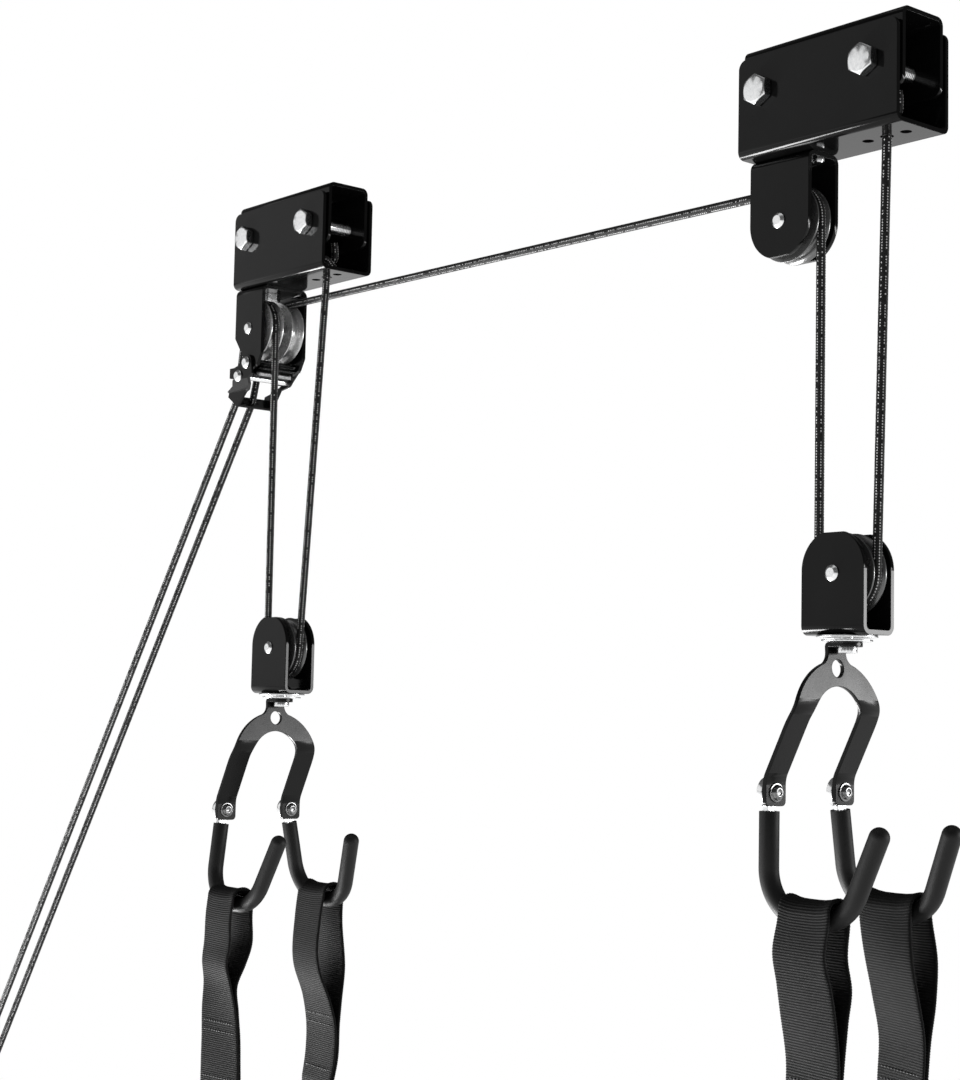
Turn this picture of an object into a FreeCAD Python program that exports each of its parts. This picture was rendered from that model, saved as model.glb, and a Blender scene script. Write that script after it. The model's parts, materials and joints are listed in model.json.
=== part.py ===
"""Two-bracket rope hoist with gambrel hangers, as a parametric document.

Frame: origin on the ceiling plane, midway between the two brackets; +X towards
the single-sheave bracket, +Y to the rear, +Z up. Lengths are millimetres.
"right" is the single-sheave end (+X), "left" is the rope-lock end (-X).
"""

import FreeCAD
import Part
import math
import os

import Sketcher
from FreeCAD import Placement, Rotation, Vector

# Driving dimensions: alias, value, meaning.
SIZES = [
    ("bracket_spacing", 555.5, "centre to centre of the two ceiling brackets"),
    ("channel_length", 122.2, "length of both channels"),
    ("outer_width", 48, "width over the outer channel"),
    ("inner_width", 37.6, "width over the inner channel"),
    ("channel_sheet", 2.8, "sheet of the channels"),
    ("box_drop", 69.3, "ceiling to the underside of the outer channel"),
    ("outer_flange_gap", 7.3, "ceiling to the top of the outer flanges"),
    ("inner_depth", 47.3, "depth of the inner channel"),
    ("channel_bend", 5, "outer bend radius of the channels"),
    ("flange_corner", 6, "corner radius of the flanges"),
    ("clamp_pitch", 81.6, "between the two clamp bolts of a bracket"),
    ("clamp_shift", -2.3, "clamp bolts and lag holes from the bracket's middle"),
    ("clamp_drop", 29.7, "ceiling to the clamp bolts"),
    ("clamp_diameter", 10, "clamp bolt shank"),
    ("clamp_flats", 17, "across flats of the clamp bolts and nuts"),
    ("clamp_head", 6.8, "height of a clamp bolt head"),
    ("clamp_nut", 8.4, "height of a clamp nut"),
    ("clamp_tail", 4, "bolt end beyond its nut"),
    ("clamp_hole", 10.6, "clamp bolt hole"),
    ("lag_hole", 8.5, "ceiling screw hole"),
    ("lag_pitch", 44, "between the ceiling screws of a bracket"),
    ("anchor_offset", 35, "rope anchor hole from the bracket's middle"),
    ("anchor_hole", 8, "rope anchor hole"),
    ("tie_hole", 6.8, "small hole beside the rope anchor hole"),
    ("tie_reach", 14, "anchor hole to each small hole"),
    ("cheek_sheet", 3, "sheet of housings, blocks and hangers"),
    ("cheek_length", 46.8, "length of a single-sheave cheek"),
    ("cheek_round", 23.4, "radius of a single-sheave cheek's end"),
    ("cheek_bend", 5.5, "outer bend radius of housings and blocks"),
    ("single_width", 27.7, "width over a single-sheave housing"),
    ("single_shift", -36.4, "single housing from its bracket's middle"),
    ("rivet_pitch", 38, "between the two rivets of the single housing"),
    ("single_axle_drop", 40.4, "channel underside to the single housing's axle"),
    ("housing_bolt_flats", 12.2, "across flats of the double housing's bolt"),
    ("housing_bolt_head", 5.8, "height of its head and of its nut"),
    ("double_width", 44, "width over the double-sheave housing"),
    ("double_length", 37.5, "length of the double-sheave housing"),
    ("double_shift", -40.3, "double housing from its bracket's middle"),
    ("double_axle_drop", 33.8, "channel underside to the double housing's axle"),
    ("sheave_pitch", 10, "middle of the double housing to each sheave"),
    ("rope_diameter", 5.5, "rope"),
    ("rope_radius_on_sheave", 21.8, "rope centre line to the axle"),
    ("rope_play", 0.2, "groove radius beyond the rope's"),
    ("rim_radius", 24.4, "sheave rim"),
    ("rim_width", 12, "sheave over its flanges"),
    ("rim_land", 1.2, "flat top of a sheave flange"),
    ("web_width", 7, "sheave web between hub and rim"),
    ("hub_radius", 8.5, "sheave hub"),
    ("rim_inner", 17, "inner radius of the sheave's rim"),
    ("axle_diameter", 6, "sheave axle rivet"),
    ("axle_head", 9.8, "rivet head"),
    ("axle_head_height", 2.2, "height of a rivet head"),
    ("running_play", 0.05, "radial clearance of a turning fit"),
    ("side_play", 0.25, "gap beside a hub"),
    ("right_axle_depth", 326.5, "ceiling to the right lower block's axle"),
    ("left_axle_depth", 361.7, "ceiling to the left lower block's axle"),
    ("block_base", 36, "block axle to the underside of its base"),
    ("block_top", 24, "block axle to the flat top of its cheeks"),
    ("block_round_rise", 2, "block axle to the centre of its round top"),
    ("left_block_lean", -12.85, "left block's axle from plumb under the front sheave's axle"),
    ("swivel_gap", 3.7, "block base to the hanger's tab"),
    ("swivel_pin", 8, "swivel rivet shank"),
    ("swivel_washer", 36, "upper swivel washer"),
    ("swivel_washer_small", 30, "lower swivel washer"),
    ("washer_sheet", 1.3, "swivel washer"),
    ("tab_reach", 9, "swivel axis to the tab's bend and to its free end"),
    ("neck_width", 16, "hanger neck"),
    ("neck_hole", 10.5, "hole in the hanger's neck"),
    ("neck_hole_depth", 14, "tab to the neck hole"),
    ("arch_outer", 39.7, "outer radius of the hanger's arch"),
    ("arch_inner", 22.3, "inner radius of the hanger's arch"),
    ("arch_outer_depth", 49.2, "tab to the centre of the outer arch"),
    ("arch_inner_depth", 46.8, "tab to the centre of the inner arch"),
    ("upper_bend_depth", 37, "tab to the hanger's upper bend"),
    ("upper_bend_reach", 6.5, "swivel axis to the upper bend"),
    ("lower_bend_depth", 79, "tab to the hanger's lower bend"),
    ("leg_reach", 28, "swivel axis to the upright leg ends"),
    ("leg_end_depth", 95, "tab to the leg ends"),
    ("hanger_bend", 18, "outer bend radius of the hanger's plate"),
    ("shoulder_reach", 12, "hanger's middle to where its neck meets the arch"),
    ("shoulder_round", 8, "radius between the hanger's neck and arch"),
    ("hook_depth", 87, "tab to the hook bolts"),
    ("hook_spread", 31, "hanger's middle to a hook bolt"),
    ("hook_bolt", 6, "hook bolt shank"),
    ("hook_bolt_head", 9.6, "hook bolt head"),
    ("hook_bolt_head_height", 3, "height of a hook bolt head"),
    ("hook_nut_flats", 8.5, "across flats of a hook nut"),
    ("hook_nut", 2, "height of a hook nut"),
    ("hook_bolt_tail", 0.6, "bolt end beyond its nut"),
    ("hook_rod", 8, "hook rod"),
    ("hook_eye", 18, "flattened eye"),
    ("hook_eye_sheet", 4, "thickness of the flattened eye"),
    ("hook_eye_gap", 0.1, "leg to eye"),
    ("hook_flattened", 10.9, "hook bolt to the end of the flattened rod"),
    ("sleeve_diameter", 12, "hook over its soft coating"),
    ("sleeve_start", 11, "hook bolt to the coating's upper end"),
    ("hook_bend", 28, "bend radius of the hook's centre line"),
    ("hook_drop", 71.5, "hook bolt to the bottom of the hook's centre line"),
    ("hook_flat", 12, "straight bottom of the hook"),
    ("hook_lean", 25, "degrees of the hook's arm from upright"),
    ("hook_arm", 36.6, "straight arm of the hook"),
    ("splay_right_front", 0, "degrees the right front hook leans outward"),
    ("splay_right_rear", 9, "degrees the right rear hook leans outward"),
    ("splay_left_front", 6.5, "degrees the left front hook leans outward"),
    ("splay_left_rear", 12, "degrees the left rear hook leans outward"),
    ("strap_width", 50, "webbing"),
    ("strap_sheet", 2.2, "webbing thickness"),
    ("loop_width", 42, "webbing gathered in a hook"),
    ("loop_play", 1.4, "webbing to the hook"),
    ("loop_rise", 12.6, "inside top of a loop above the hook's lowest centre"),
    ("loop_length", 95, "hook's lowest centre to the loop's seam"),
    ("loop_gap", 4, "end of a loop to the sling"),
    ("sling_drop", 450, "hook's lowest centre to the bottom of the sling"),
    ("lock_pin_drop", 28.8, "double housing's axle to the lock pin"),
    ("lock_pin_shift", 2, "double housing's axle to the lock pin, along X"),
    ("lock_pin", 5, "lock pin and frame bolt"),
    ("lock_ear", 6.7, "radius of the metal around the lock pin"),
    ("lock_sheet", 2, "sheet of the lock frame"),
    ("lock_side_gap", 0.3, "housing cheek to the lock frame"),
    ("lock_bolt_shift", -10.6, "lock pin to the frame bolt, along X"),
    ("lock_bolt_drop", 9.6, "lock pin to the frame bolt, down"),
    ("pull_angle", 34.25, "degrees of the pull ropes from plumb"),
    ("fairlead_shift", -36.9, "lock pin to where the ropes leave, along X"),
    ("fairlead_drop", 26, "lock pin to where the ropes leave, down"),
    ("fairlead_outer", 6, "pull ropes to the fairlead's outer edge"),
    ("fairlead_inner", 10, "pull ropes to the fairlead's inner edge"),
    ("lock_tab_reach", 23.5, "lock pin to the end of the frame's tab"),
    ("lock_tab_width", 8, "tab on the lock frame"),
    ("lock_tab_drop", 2.5, "lock pin to the top of the tab"),
    ("lock_lip_reach", 40.5, "lock pin to the frame's outer lip, along X"),
    ("lock_lip_drop", 18.5, "lock pin to the frame's outer lip, down"),
    ("lock_waist_reach", 17, "lock pin to the inner edge of the frame's arm, along X"),
    ("lock_waist_drop", 20.5, "lock pin to the inner edge of the frame's arm, down"),
    ("crank_top", 12, "lock pin to the top of the front plate's crank"),
    ("crank_bottom", 19, "lock pin to the foot of the front plate's crank"),
    ("crank_inside", 11, "middle plane to the front plate below its crank"),
    ("fairlead_hole", 8.4, "rope hole in the fairlead"),
    ("pull_half_gap", 7.6, "middle plane to each pull rope"),
    ("cam_hub", 4, "lock cam's hub radius"),
    ("cam_nose", 10.8, "lock cam's nose radius"),
    ("cam_teeth", 9, "teeth round the cam's nose"),
    ("cam_tooth", 2.6, "height of a cam tooth"),
    ("cam_gap", 2, "cheek to the end of the cam"),
    ("pull_length", 1250, "fairlead to the rope ends"),
    ("knot_length", 22, "knotted end of a rope"),
    ("pull_start", 3, "fairlead to the start of the moving pull rope"),
    ("lock_entry", 167, "degrees round an upper sheave to where its rope leaves for the lock"),
    ("thread_play", 0.02, "radial gap between a bolt and its nut"),
    ("rope_joint", 0.3, "gap between two lengths of one rope"),
]

doc = FreeCAD.newDocument("rope_hoist")
sheet = doc.addObject("Spreadsheet::Sheet", "sizes")
for row, (alias, value, meaning) in enumerate(SIZES, start=1):
    sheet.set(f"A{row}", meaning)
    sheet.set(f"B{row}", str(value))
    sheet.setAlias(f"B{row}", alias)
doc.recompute()

AXES = {"x": Vector(1, 0, 0), "y": Vector(0, 1, 0), "z": Vector(0, 0, 1)}
SUBPARTS = []


class Size:
    """A number together with the expression that ties it to the sizes sheet."""

    def __init__(self, value, text):
        self.value = float(value)
        self.text = text

    def _with(self, other, sign, value):
        return Size(value, f"({self.text} {sign} {text_of(other)})")

    def __add__(self, other):
        return self._with(other, "+", self.value + number(other))

    def __sub__(self, other):
        return self._with(other, "-", self.value - number(other))

    def __mul__(self, other):
        return self._with(other, "*", self.value * number(other))

    def __truediv__(self, other):
        return self._with(other, "/", self.value / number(other))

    def __neg__(self):
        return Size(-self.value, f"(0 - {self.text})")

    def __radd__(self, other):
        return Size(number(other), text_of(other)) + self

    def __rsub__(self, other):
        return Size(number(other), text_of(other)) - self

    def __rmul__(self, other):
        return self * other


def number(size):
    return size.value if isinstance(size, Size) else float(size)


def text_of(size):
    return size.text if isinstance(size, Size) else f"({float(size):.9g})"


def dim(alias):
    return Size(sheet.get(alias), f"sizes.{alias}")


def sine(angle):
    return Size(math.sin(math.radians(angle.value)), f"sin({angle.text} * 1deg)")


def cosine(angle):
    return Size(math.cos(math.radians(angle.value)), f"cos({angle.text} * 1deg)")


def root(size):
    return Size(math.sqrt(size.value), f"sqrt({size.text})")


def bind(thing, prop, size):
    """Give a property its value and tie it to the sheet."""
    if isinstance(size, Size):
        thing.setExpression(prop, size.text)
    else:
        setattr(thing, prop, size)


def place(thing, x=0, y=0, z=0, turn=None):
    """Set a sub-part's Placement, with its position tied to the sheet."""
    thing.Placement = Placement(Vector(number(x), number(y), number(z)), turn or Rotation())
    for prop, size in (("x", x), ("y", y), ("z", z)):
        if isinstance(size, Size):
            thing.setExpression(f"Placement.Base.{prop}", size.text)
    return thing


def subpart(thing, label):
    """Name a finished sub-part, which is written to a file of that name."""
    thing.Label = label
    SUBPARTS.append(thing)
    return thing


# --- Sketches -------------------------------------------------------------------


class Drawing:
    """A sketch on an origin plane of its own body, with every point tied to the sheet."""

    def __init__(self, body, plane, offset=0):
        self.sketch = body.newObject("Sketcher::SketchObject", "Sketch")
        origin_plane = next(f for f in body.Origin.OriginFeatures if f.Role == f"{plane}_Plane")
        self.sketch.AttachmentSupport = [(origin_plane, "")]
        self.sketch.MapMode = "FlatFace"
        if isinstance(offset, Size):
            self.sketch.AttachmentOffset = Placement(Vector(0, 0, offset.value), Rotation())
            self.sketch.setExpression("AttachmentOffset.Base.z", offset.text)

    def measure(self, kind, references, size):
        index = self.sketch.addConstraint(Sketcher.Constraint(kind, *references, number(size)))
        if isinstance(size, Size):
            self.sketch.setExpression(f"Constraints[{index}]", size.text)

    def fix(self, item, end, x, y):
        """Hold one point of a curve at x, y."""
        for kind, axis, size in (("DistanceX", -2, x), ("DistanceY", -1, y)):
            if abs(number(size)) < 1e-9:
                self.sketch.addConstraint(Sketcher.Constraint("PointOnObject", item, end, axis))
            else:
                self.measure(kind, (-1, 1, item, end), size)

    def circle(self, x, y, radius):
        centre = Vector(number(x), number(y), 0)
        item = self.sketch.addGeometry(Part.Circle(centre, AXES["z"], number(radius)), False)
        self.fix(item, 3, x, y)
        self.measure("Radius", (item,), radius)
        return self

    def _edge(self, here, there, radius):
        """A line, or an arc that turns counter-clockwise when its radius is positive."""
        a = Vector(number(here[0]), number(here[1]), 0)
        b = Vector(number(there[0]), number(there[1]), 0)
        if radius is None:
            return self.sketch.addGeometry(Part.LineSegment(a, b), False), 1, 2
        first, last = (a, b) if number(radius) > 0 else (b, a)
        reach = abs(number(radius))
        chord = last - first
        inward = Vector(-chord.y, chord.x, 0).normalize()
        height = math.sqrt(max(reach**2 - chord.Length**2 / 4, 0))
        centre = (first + last) / 2 + inward * height
        angles = [math.atan2(p.y - centre.y, p.x - centre.x) for p in (first, last)]
        arc = Part.ArcOfCircle(Part.Circle(centre, AXES["z"], reach), *angles)
        item = self.sketch.addGeometry(arc, False)
        size = radius if number(radius) > 0 else -radius
        self.measure("Radius", (item,), size)
        return (item, 1, 2) if number(radius) > 0 else (item, 2, 1)

    def path(self, corners, closed=False):
        """Joined lines and arcs; a corner (x, y, radius) starts an arc of that radius."""
        following = corners[1:] + (corners[:1] if closed else [])
        edges = []
        for here, there in zip(corners, following):
            edges.append(self._edge(here, there, here[2] if len(here) > 2 else None))
        for here, (item, start, _end) in zip(corners, edges):
            self.fix(item, start, here[0], here[1])
        pairs = list(zip(edges, edges[1:] + (edges[:1] if closed else [])))
        for (item, _start, end), (after, start, _end) in pairs:
            self.sketch.addConstraint(Sketcher.Constraint("Coincident", item, end, after, start))
        if not closed:
            self.fix(edges[-1][0], edges[-1][2], corners[-1][0], corners[-1][1])
        return self

    def outline(self, *corners):
        return self.path(list(corners), closed=True)

    def rectangle(self, low_x, low_y, high_x, high_y):
        return self.outline((low_x, low_y), (high_x, low_y), (high_x, high_y), (low_x, high_y))

    def hexagon(self, x, y, flats):
        """A regular hexagon with two corners on the level through its centre."""
        reach = flats / math.sqrt(3)
        points = []
        for turn in range(6):
            along, up = math.cos(math.radians(60 * turn)), math.sin(math.radians(60 * turn))
            points.append((x + reach * round(along, 9), y + reach * round(up, 9)))
        return self.outline(*points)


# --- Features -------------------------------------------------------------------


def new_body(name):
    body = doc.addObject("PartDesign::Body", name)
    body.AllowCompound = True
    return body


def pad(drawing, length, symmetric=True, backward=False):
    body = drawing.sketch.getParentGeoFeatureGroup()
    feature = body.newObject("PartDesign::Pad", "Pad")
    feature.Profile = drawing.sketch
    feature.SideType = "Symmetric" if symmetric else "One side"
    feature.Reversed = backward
    bind(feature, "Length", length)
    doc.recompute()
    return feature


def pocket(drawing, length, symmetric=True, backward=False):
    """Cut a sketch out of its body, and make sure that it removed something."""
    body = drawing.sketch.getParentGeoFeatureGroup()
    before = body.Shape.Volume
    feature = body.newObject("PartDesign::Pocket", "Pocket")
    feature.Profile = drawing.sketch
    feature.SideType = "Symmetric" if symmetric else "One side"
    feature.Reversed = backward
    bind(feature, "Length", length)
    doc.recompute()
    if body.Shape.Volume > before - 1e-3:
        raise RuntimeError(f"{body.Name}: a pocket removed nothing")
    return feature


def revolve(drawing, axis="V_Axis", cut=False):
    """Turn a sketch about one of its own axes."""
    body = drawing.sketch.getParentGeoFeatureGroup()
    feature = body.newObject("PartDesign::Groove" if cut else "PartDesign::Revolution", "Turned")
    feature.Profile = drawing.sketch
    feature.ReferenceAxis = (drawing.sketch, [axis])
    feature.Angle = 360
    doc.recompute()
    return feature


def pipe(profile, spine):
    body = profile.sketch.getParentGeoFeatureGroup()
    feature = body.newObject("PartDesign::AdditivePipe", "Pipe")
    feature.Profile = profile.sketch
    feature.Spine = (spine.sketch, [])
    doc.recompute()
    return feature


def straight_edges(shape, axis, **centre):
    """Names of the straight edges along an axis, by their centre's distance from the origin planes."""
    names = []
    for index, edge in enumerate(shape.Edges, start=1):
        if edge.Curve.TypeId != "Part::GeomLine":
            continue
        if abs(edge.tangentAt(edge.FirstParameter).dot(AXES[axis])) < 0.9999:
            continue
        middle = edge.CenterOfMass
        if all(abs(abs(getattr(middle, k)) - abs(number(v))) < 0.02 for k, v in centre.items()):
            names.append(f"Edge{index}")
    return names


def fillet(body, radius, axis, **centre):
    """Round the straight edges along an axis whose centre lies at these distances."""
    names = straight_edges(body.Shape, axis, **centre)
    if not names:
        raise RuntimeError(f"{body.Name}: no edge to round at {centre}")
    base = body.Tip
    feature = body.newObject("PartDesign::Fillet", "Round")
    feature.Base = (base, names)
    bind(feature, "Radius", radius)
    doc.recompute()
    return feature


def bent_web(body, width, web_z, web_inner_z, bend, thickness):
    """Round a channel's two bends, outside and inside."""
    fillet(body, bend, "x", y=width / 2, z=web_z)
    fillet(body, bend - thickness, "x", y=width / 2 - thickness, z=web_inner_z)


# --- Shared places --------------------------------------------------------------

CHANNEL_SHEET = dim("channel_sheet")
CHEEK_SHEET = dim("cheek_sheet")
NIL = Size(0, "(0)")
ROPE = dim("rope_diameter") / 2
MEET = dim("rope_joint")
WRAP = dim("rope_radius_on_sheave")
BOX_DROP = dim("box_drop")
RIGHT = dim("bracket_spacing") / 2
LEFT = -RIGHT
BRACKETS = (("right", RIGHT), ("left", LEFT))
CLAMPS = (dim("clamp_shift") - dim("clamp_pitch") / 2, dim("clamp_shift") + dim("clamp_pitch") / 2)
LAGS = (dim("clamp_shift") - dim("lag_pitch") / 2, dim("clamp_shift") + dim("lag_pitch") / 2)

RIVETS = (-dim("rivet_pitch") / 2, dim("rivet_pitch") / 2)
RIVET = dim("axle_diameter")
HOUSING_BOLT = dim("swivel_pin")

HEAD = dim("axle_head_height")
SINGLE_HALF = dim("single_width") / 2
DOUBLE_HALF = dim("double_width") / 2

SINGLE_X = RIGHT + dim("single_shift")
SINGLE_Z = -(BOX_DROP + dim("single_axle_drop"))
DOUBLE_X = LEFT + dim("double_shift")
DOUBLE_Z = -(BOX_DROP + dim("double_axle_drop"))
SHEAVE_Y = dim("sheave_pitch")
DOUBLE_HUB = dim("double_width") - CHEEK_SHEET * 2 - SHEAVE_Y * 2
LOCK_ENTRY = dim("lock_entry")

RIGHT_AXLE_X = SINGLE_X + WRAP * 2
RIGHT_AXLE_Z = -dim("right_axle_depth")
LEFT_AXLE_X = DOUBLE_X + WRAP * 2 + dim("left_block_lean")
LEFT_AXLE_Z = -dim("left_axle_depth")
AXLES = {"right": (RIGHT_AXLE_X, RIGHT_AXLE_Z), "left": (LEFT_AXLE_X, LEFT_AXLE_Z)}

TAB_DROP = dim("block_base") + dim("swivel_gap") + CHEEK_SHEET / 2
HOOK_X = -dim("leg_reach") - CHEEK_SHEET / 2 - dim("hook_eye_gap") - dim("hook_eye_sheet") / 2
HOOK_DROP = TAB_DROP + dim("hook_depth")

LOCK_X = DOUBLE_X + dim("lock_pin_shift")
LOCK_Z = DOUBLE_Z - dim("lock_pin_drop")
EXIT_X = dim("fairlead_shift")
EXIT_Z = -dim("fairlead_drop")
PULL_X = -sine(dim("pull_angle"))
PULL_Z = -cosine(dim("pull_angle"))


# --- Ceiling brackets -----------------------------------------------------------


def inner_channel(side, middle):
    """Inverted channel that the lag screws hold to the ceiling."""
    body = new_body(f"{side}_inner_channel")
    length, width, depth = dim("channel_length"), dim("inner_width"), dim("inner_depth")
    pad(Drawing(body, "XZ").rectangle(-length / 2, -depth, length / 2, 0), width)
    inside = width / 2 - CHANNEL_SHEET
    pocket(Drawing(body, "YZ").rectangle(-inside, -depth - 5, inside, -CHANNEL_SHEET), length + 2)
    bent_web(body, width, 0, -CHANNEL_SHEET, dim("channel_bend"), CHANNEL_SHEET)
    fillet(body, dim("flange_corner"), "y", x=length / 2, z=depth)
    clamps = Drawing(body, "XZ")
    for x in CLAMPS:
        clamps.circle(x, -dim("clamp_drop"), dim("clamp_hole") / 2)
    pocket(clamps, width + 2)
    lags = Drawing(body, "XY")
    for x in LAGS:
        lags.circle(x, 0, dim("lag_hole") / 2)
    pocket(lags, CHANNEL_SHEET * 3)
    place(subpart(body, f"{side}_inner_channel"), middle)


def outer_channel(side, middle):
    """Upright channel that hangs on the clamp bolts and carries the housing and rope end."""
    body = new_body(f"{side}_outer_channel")
    length, width = dim("channel_length"), dim("outer_width")
    low, high = -BOX_DROP, -dim("outer_flange_gap")
    pad(Drawing(body, "XZ").rectangle(-length / 2, low, length / 2, high), width)
    inside = width / 2 - CHANNEL_SHEET
    pocket(Drawing(body, "YZ").rectangle(-inside, low + CHANNEL_SHEET, inside, high + 5), length + 2)
    bent_web(body, width, low, low + CHANNEL_SHEET, dim("channel_bend"), CHANNEL_SHEET)
    fillet(body, dim("flange_corner"), "y", x=length / 2, z=high)
    clamps = Drawing(body, "XZ")
    for x in CLAMPS:
        clamps.circle(x, -dim("clamp_drop"), dim("clamp_hole") / 2)
    pocket(clamps, width + 2)
    base = Drawing(body, "XY", low)
    anchor, reach = dim("anchor_offset"), dim("tie_reach")
    base.circle(anchor, 0, dim("anchor_hole") / 2)
    base.circle(anchor - reach, 0, dim("tie_hole") / 2)
    base.circle(anchor + reach, 0, dim("tie_hole") / 2)
    if side == "right":
        for x in RIVETS:
            base.circle(dim("single_shift") + x, 0, RIVET / 2)
    else:
        base.circle(dim("double_shift"), 0, HOUSING_BOLT / 2)
    pocket(base, CHANNEL_SHEET * 3)
    place(subpart(body, f"{side}_outer_channel"), middle)


def clamp_bolts():
    """Four hex bolts from the front through both channels."""
    body = new_body("clamp_bolts")
    half = dim("outer_width") / 2
    reach = dim("clamp_nut") + dim("clamp_tail")
    heads = Drawing(body, "XZ", half)
    shanks = Drawing(body, "XZ", half)
    for _side, middle in BRACKETS:
        for x in CLAMPS:
            heads.hexagon(middle + x, -dim("clamp_drop"), dim("clamp_flats"))
            shanks.circle(middle + x, -dim("clamp_drop"), dim("clamp_diameter") / 2)
    pad(heads, dim("clamp_head"), symmetric=False)
    pad(shanks, half * 2 + reach, symmetric=False, backward=True)
    subpart(body, "clamp_bolts")


def clamp_nuts():
    """Four hex nuts at the rear of the channels."""
    body = new_body("clamp_nuts")
    nuts = Drawing(body, "XZ", -dim("outer_width") / 2)
    for _side, middle in BRACKETS:
        for x in CLAMPS:
            nuts.hexagon(middle + x, -dim("clamp_drop"), dim("clamp_flats"))
            nuts.circle(middle + x, -dim("clamp_drop"), dim("clamp_diameter") / 2 + dim("thread_play"))
    pad(nuts, dim("clamp_nut"), symmetric=False, backward=True)
    subpart(body, "clamp_nuts")


# --- Upper housings -------------------------------------------------------------


def cheek_cavity(body, width, low, high, length):
    inside = width / 2 - CHEEK_SHEET
    pocket(Drawing(body, "YZ").rectangle(-inside, low, inside, high), length + 2)


def single_housing():
    """Inverted bracket round one sheave, with round cheek ends; origin on its axle."""
    body = new_body("right_housing")
    half, drop = dim("cheek_length") / 2, dim("single_axle_drop")
    end, rise = dim("cheek_round"), dim("block_round_rise")
    flat_z = dim("block_top") - rise
    flat_x = root(end * end - flat_z * flat_z)
    outline = Drawing(body, "XZ").outline(
        (-half, drop),
        (-half, 0, end),
        (-flat_x, -flat_z),
        (flat_x, -flat_z, end),
        (half, 0),
        (half, drop),
    )
    pad(outline, dim("single_width"))
    cheek_cavity(body, dim("single_width"), -end * 2, drop - CHEEK_SHEET, half * 2)
    bent_web(body, dim("single_width"), drop, drop - CHEEK_SHEET, dim("cheek_bend"), CHEEK_SHEET)
    pocket(Drawing(body, "XZ").circle(0, 0, RIVET / 2 + dim("running_play")), dim("single_width") + 2)
    web = Drawing(body, "XY", drop)
    for x in RIVETS:
        web.circle(x, 0, RIVET / 2)
    pocket(web, CHEEK_SHEET * 3)
    place(subpart(body, "right_housing"), SINGLE_X, 0, SINGLE_Z)


def double_housing():
    """Inverted bracket round two sheaves, tapered below to the lock pin; origin on its axle."""
    body = new_body("left_housing")
    half, drop = dim("double_length") / 2, dim("double_axle_drop")
    pin_x, pin_z, ear = dim("lock_pin_shift"), -dim("lock_pin_drop"), dim("lock_ear")
    outline = Drawing(body, "XZ").outline(
        (-half, drop),
        (-half, -ear),
        (pin_x - ear, pin_z + ear * 0.5),
        (pin_x - ear, pin_z, ear),
        (pin_x, pin_z - ear),
        (pin_x + ear * 1.7, pin_z - ear * 0.4),
        (half, pin_z + ear),
        (half, drop),
    )
    pad(outline, dim("double_width"))
    cheek_cavity(body, dim("double_width"), pin_z - ear * 2, drop - CHEEK_SHEET, half * 2)
    bent_web(body, dim("double_width"), drop, drop - CHEEK_SHEET, dim("cheek_bend"), CHEEK_SHEET)
    holes = Drawing(body, "XZ")
    holes.circle(0, 0, RIVET / 2 + dim("running_play"))
    holes.circle(pin_x, pin_z, dim("lock_pin") / 2 + dim("running_play"))
    pocket(holes, dim("double_width") + 2)
    pocket(Drawing(body, "XY", drop).circle(0, 0, HOUSING_BOLT / 2), CHEEK_SHEET * 3)
    place(subpart(body, "left_housing"), DOUBLE_X, 0, DOUBLE_Z)


def housing_rivets():
    """Two rivets that hold the single housing's web under its channel."""
    body = new_body("right_housing_rivets")
    head, height = dim("axle_head") / 2, dim("axle_head_height")
    shanks = Drawing(body, "XY")
    top = Drawing(body, "XY", CHANNEL_SHEET)
    bottom = Drawing(body, "XY", -CHEEK_SHEET)
    for x in RIVETS:
        shanks.circle(x, 0, RIVET / 2)
        top.circle(x, 0, head)
        bottom.circle(x, 0, head * 0.8)
    pad(shanks, (CHANNEL_SHEET + CHEEK_SHEET) * 2)
    pad(top, height, symmetric=False)
    pad(bottom, height, symmetric=False, backward=True)
    place(subpart(body, "right_housing_rivets"), SINGLE_X, 0, -BOX_DROP)


def housing_bolt():
    """One bolt with a nut below holds the double housing's web under its channel."""
    body = new_body("left_housing_bolt")
    flats, height = dim("housing_bolt_flats"), dim("housing_bolt_head")
    head = Drawing(body, "XY", CHANNEL_SHEET).hexagon(0, 0, flats)
    shank = Drawing(body, "XY", CHANNEL_SHEET).circle(0, 0, HOUSING_BOLT / 2)
    nut = Drawing(body, "XY", -CHEEK_SHEET).hexagon(0, 0, flats)
    pad(head, height, symmetric=False)
    pad(shank, CHANNEL_SHEET + CHEEK_SHEET + height, symmetric=False, backward=True)
    pad(nut, height, symmetric=False, backward=True)
    place(subpart(body, "left_housing_bolt"), DOUBLE_X, 0, -BOX_DROP)


# --- Sheaves and axles ----------------------------------------------------------


def sheave(label, width_between, x, y, z):
    """Grooved wheel with a hub as wide as its place allows; its axis is Y."""
    body = new_body(label)
    bore = dim("axle_diameter") / 2 + dim("running_play")
    hub, hub_half = dim("hub_radius"), width_between / 2 - dim("side_play")
    rim, rim_half = dim("rim_radius"), dim("rim_width") / 2
    inner, web_half = dim("rim_inner"), dim("web_width") / 2
    groove = ROPE + dim("rope_play")
    mouth = rim_half - dim("rim_land")
    section = Drawing(body, "XY").outline(
        (bore, -hub_half),
        (hub, -hub_half),
        (hub, -web_half),
        (inner, -web_half),
        (inner, -rim_half),
        (rim, -rim_half),
        (rim, -mouth),
        (WRAP, -groove),
        (WRAP, groove),
        (rim, mouth),
        (rim, rim_half),
        (inner, rim_half),
        (inner, web_half),
        (hub, web_half),
        (hub, hub_half),
        (bore, hub_half),
    )
    revolve(section)
    revolve(Drawing(body, "XY").circle(WRAP, 0, groove), cut=True)
    place(subpart(body, label), x, y, z)


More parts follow.
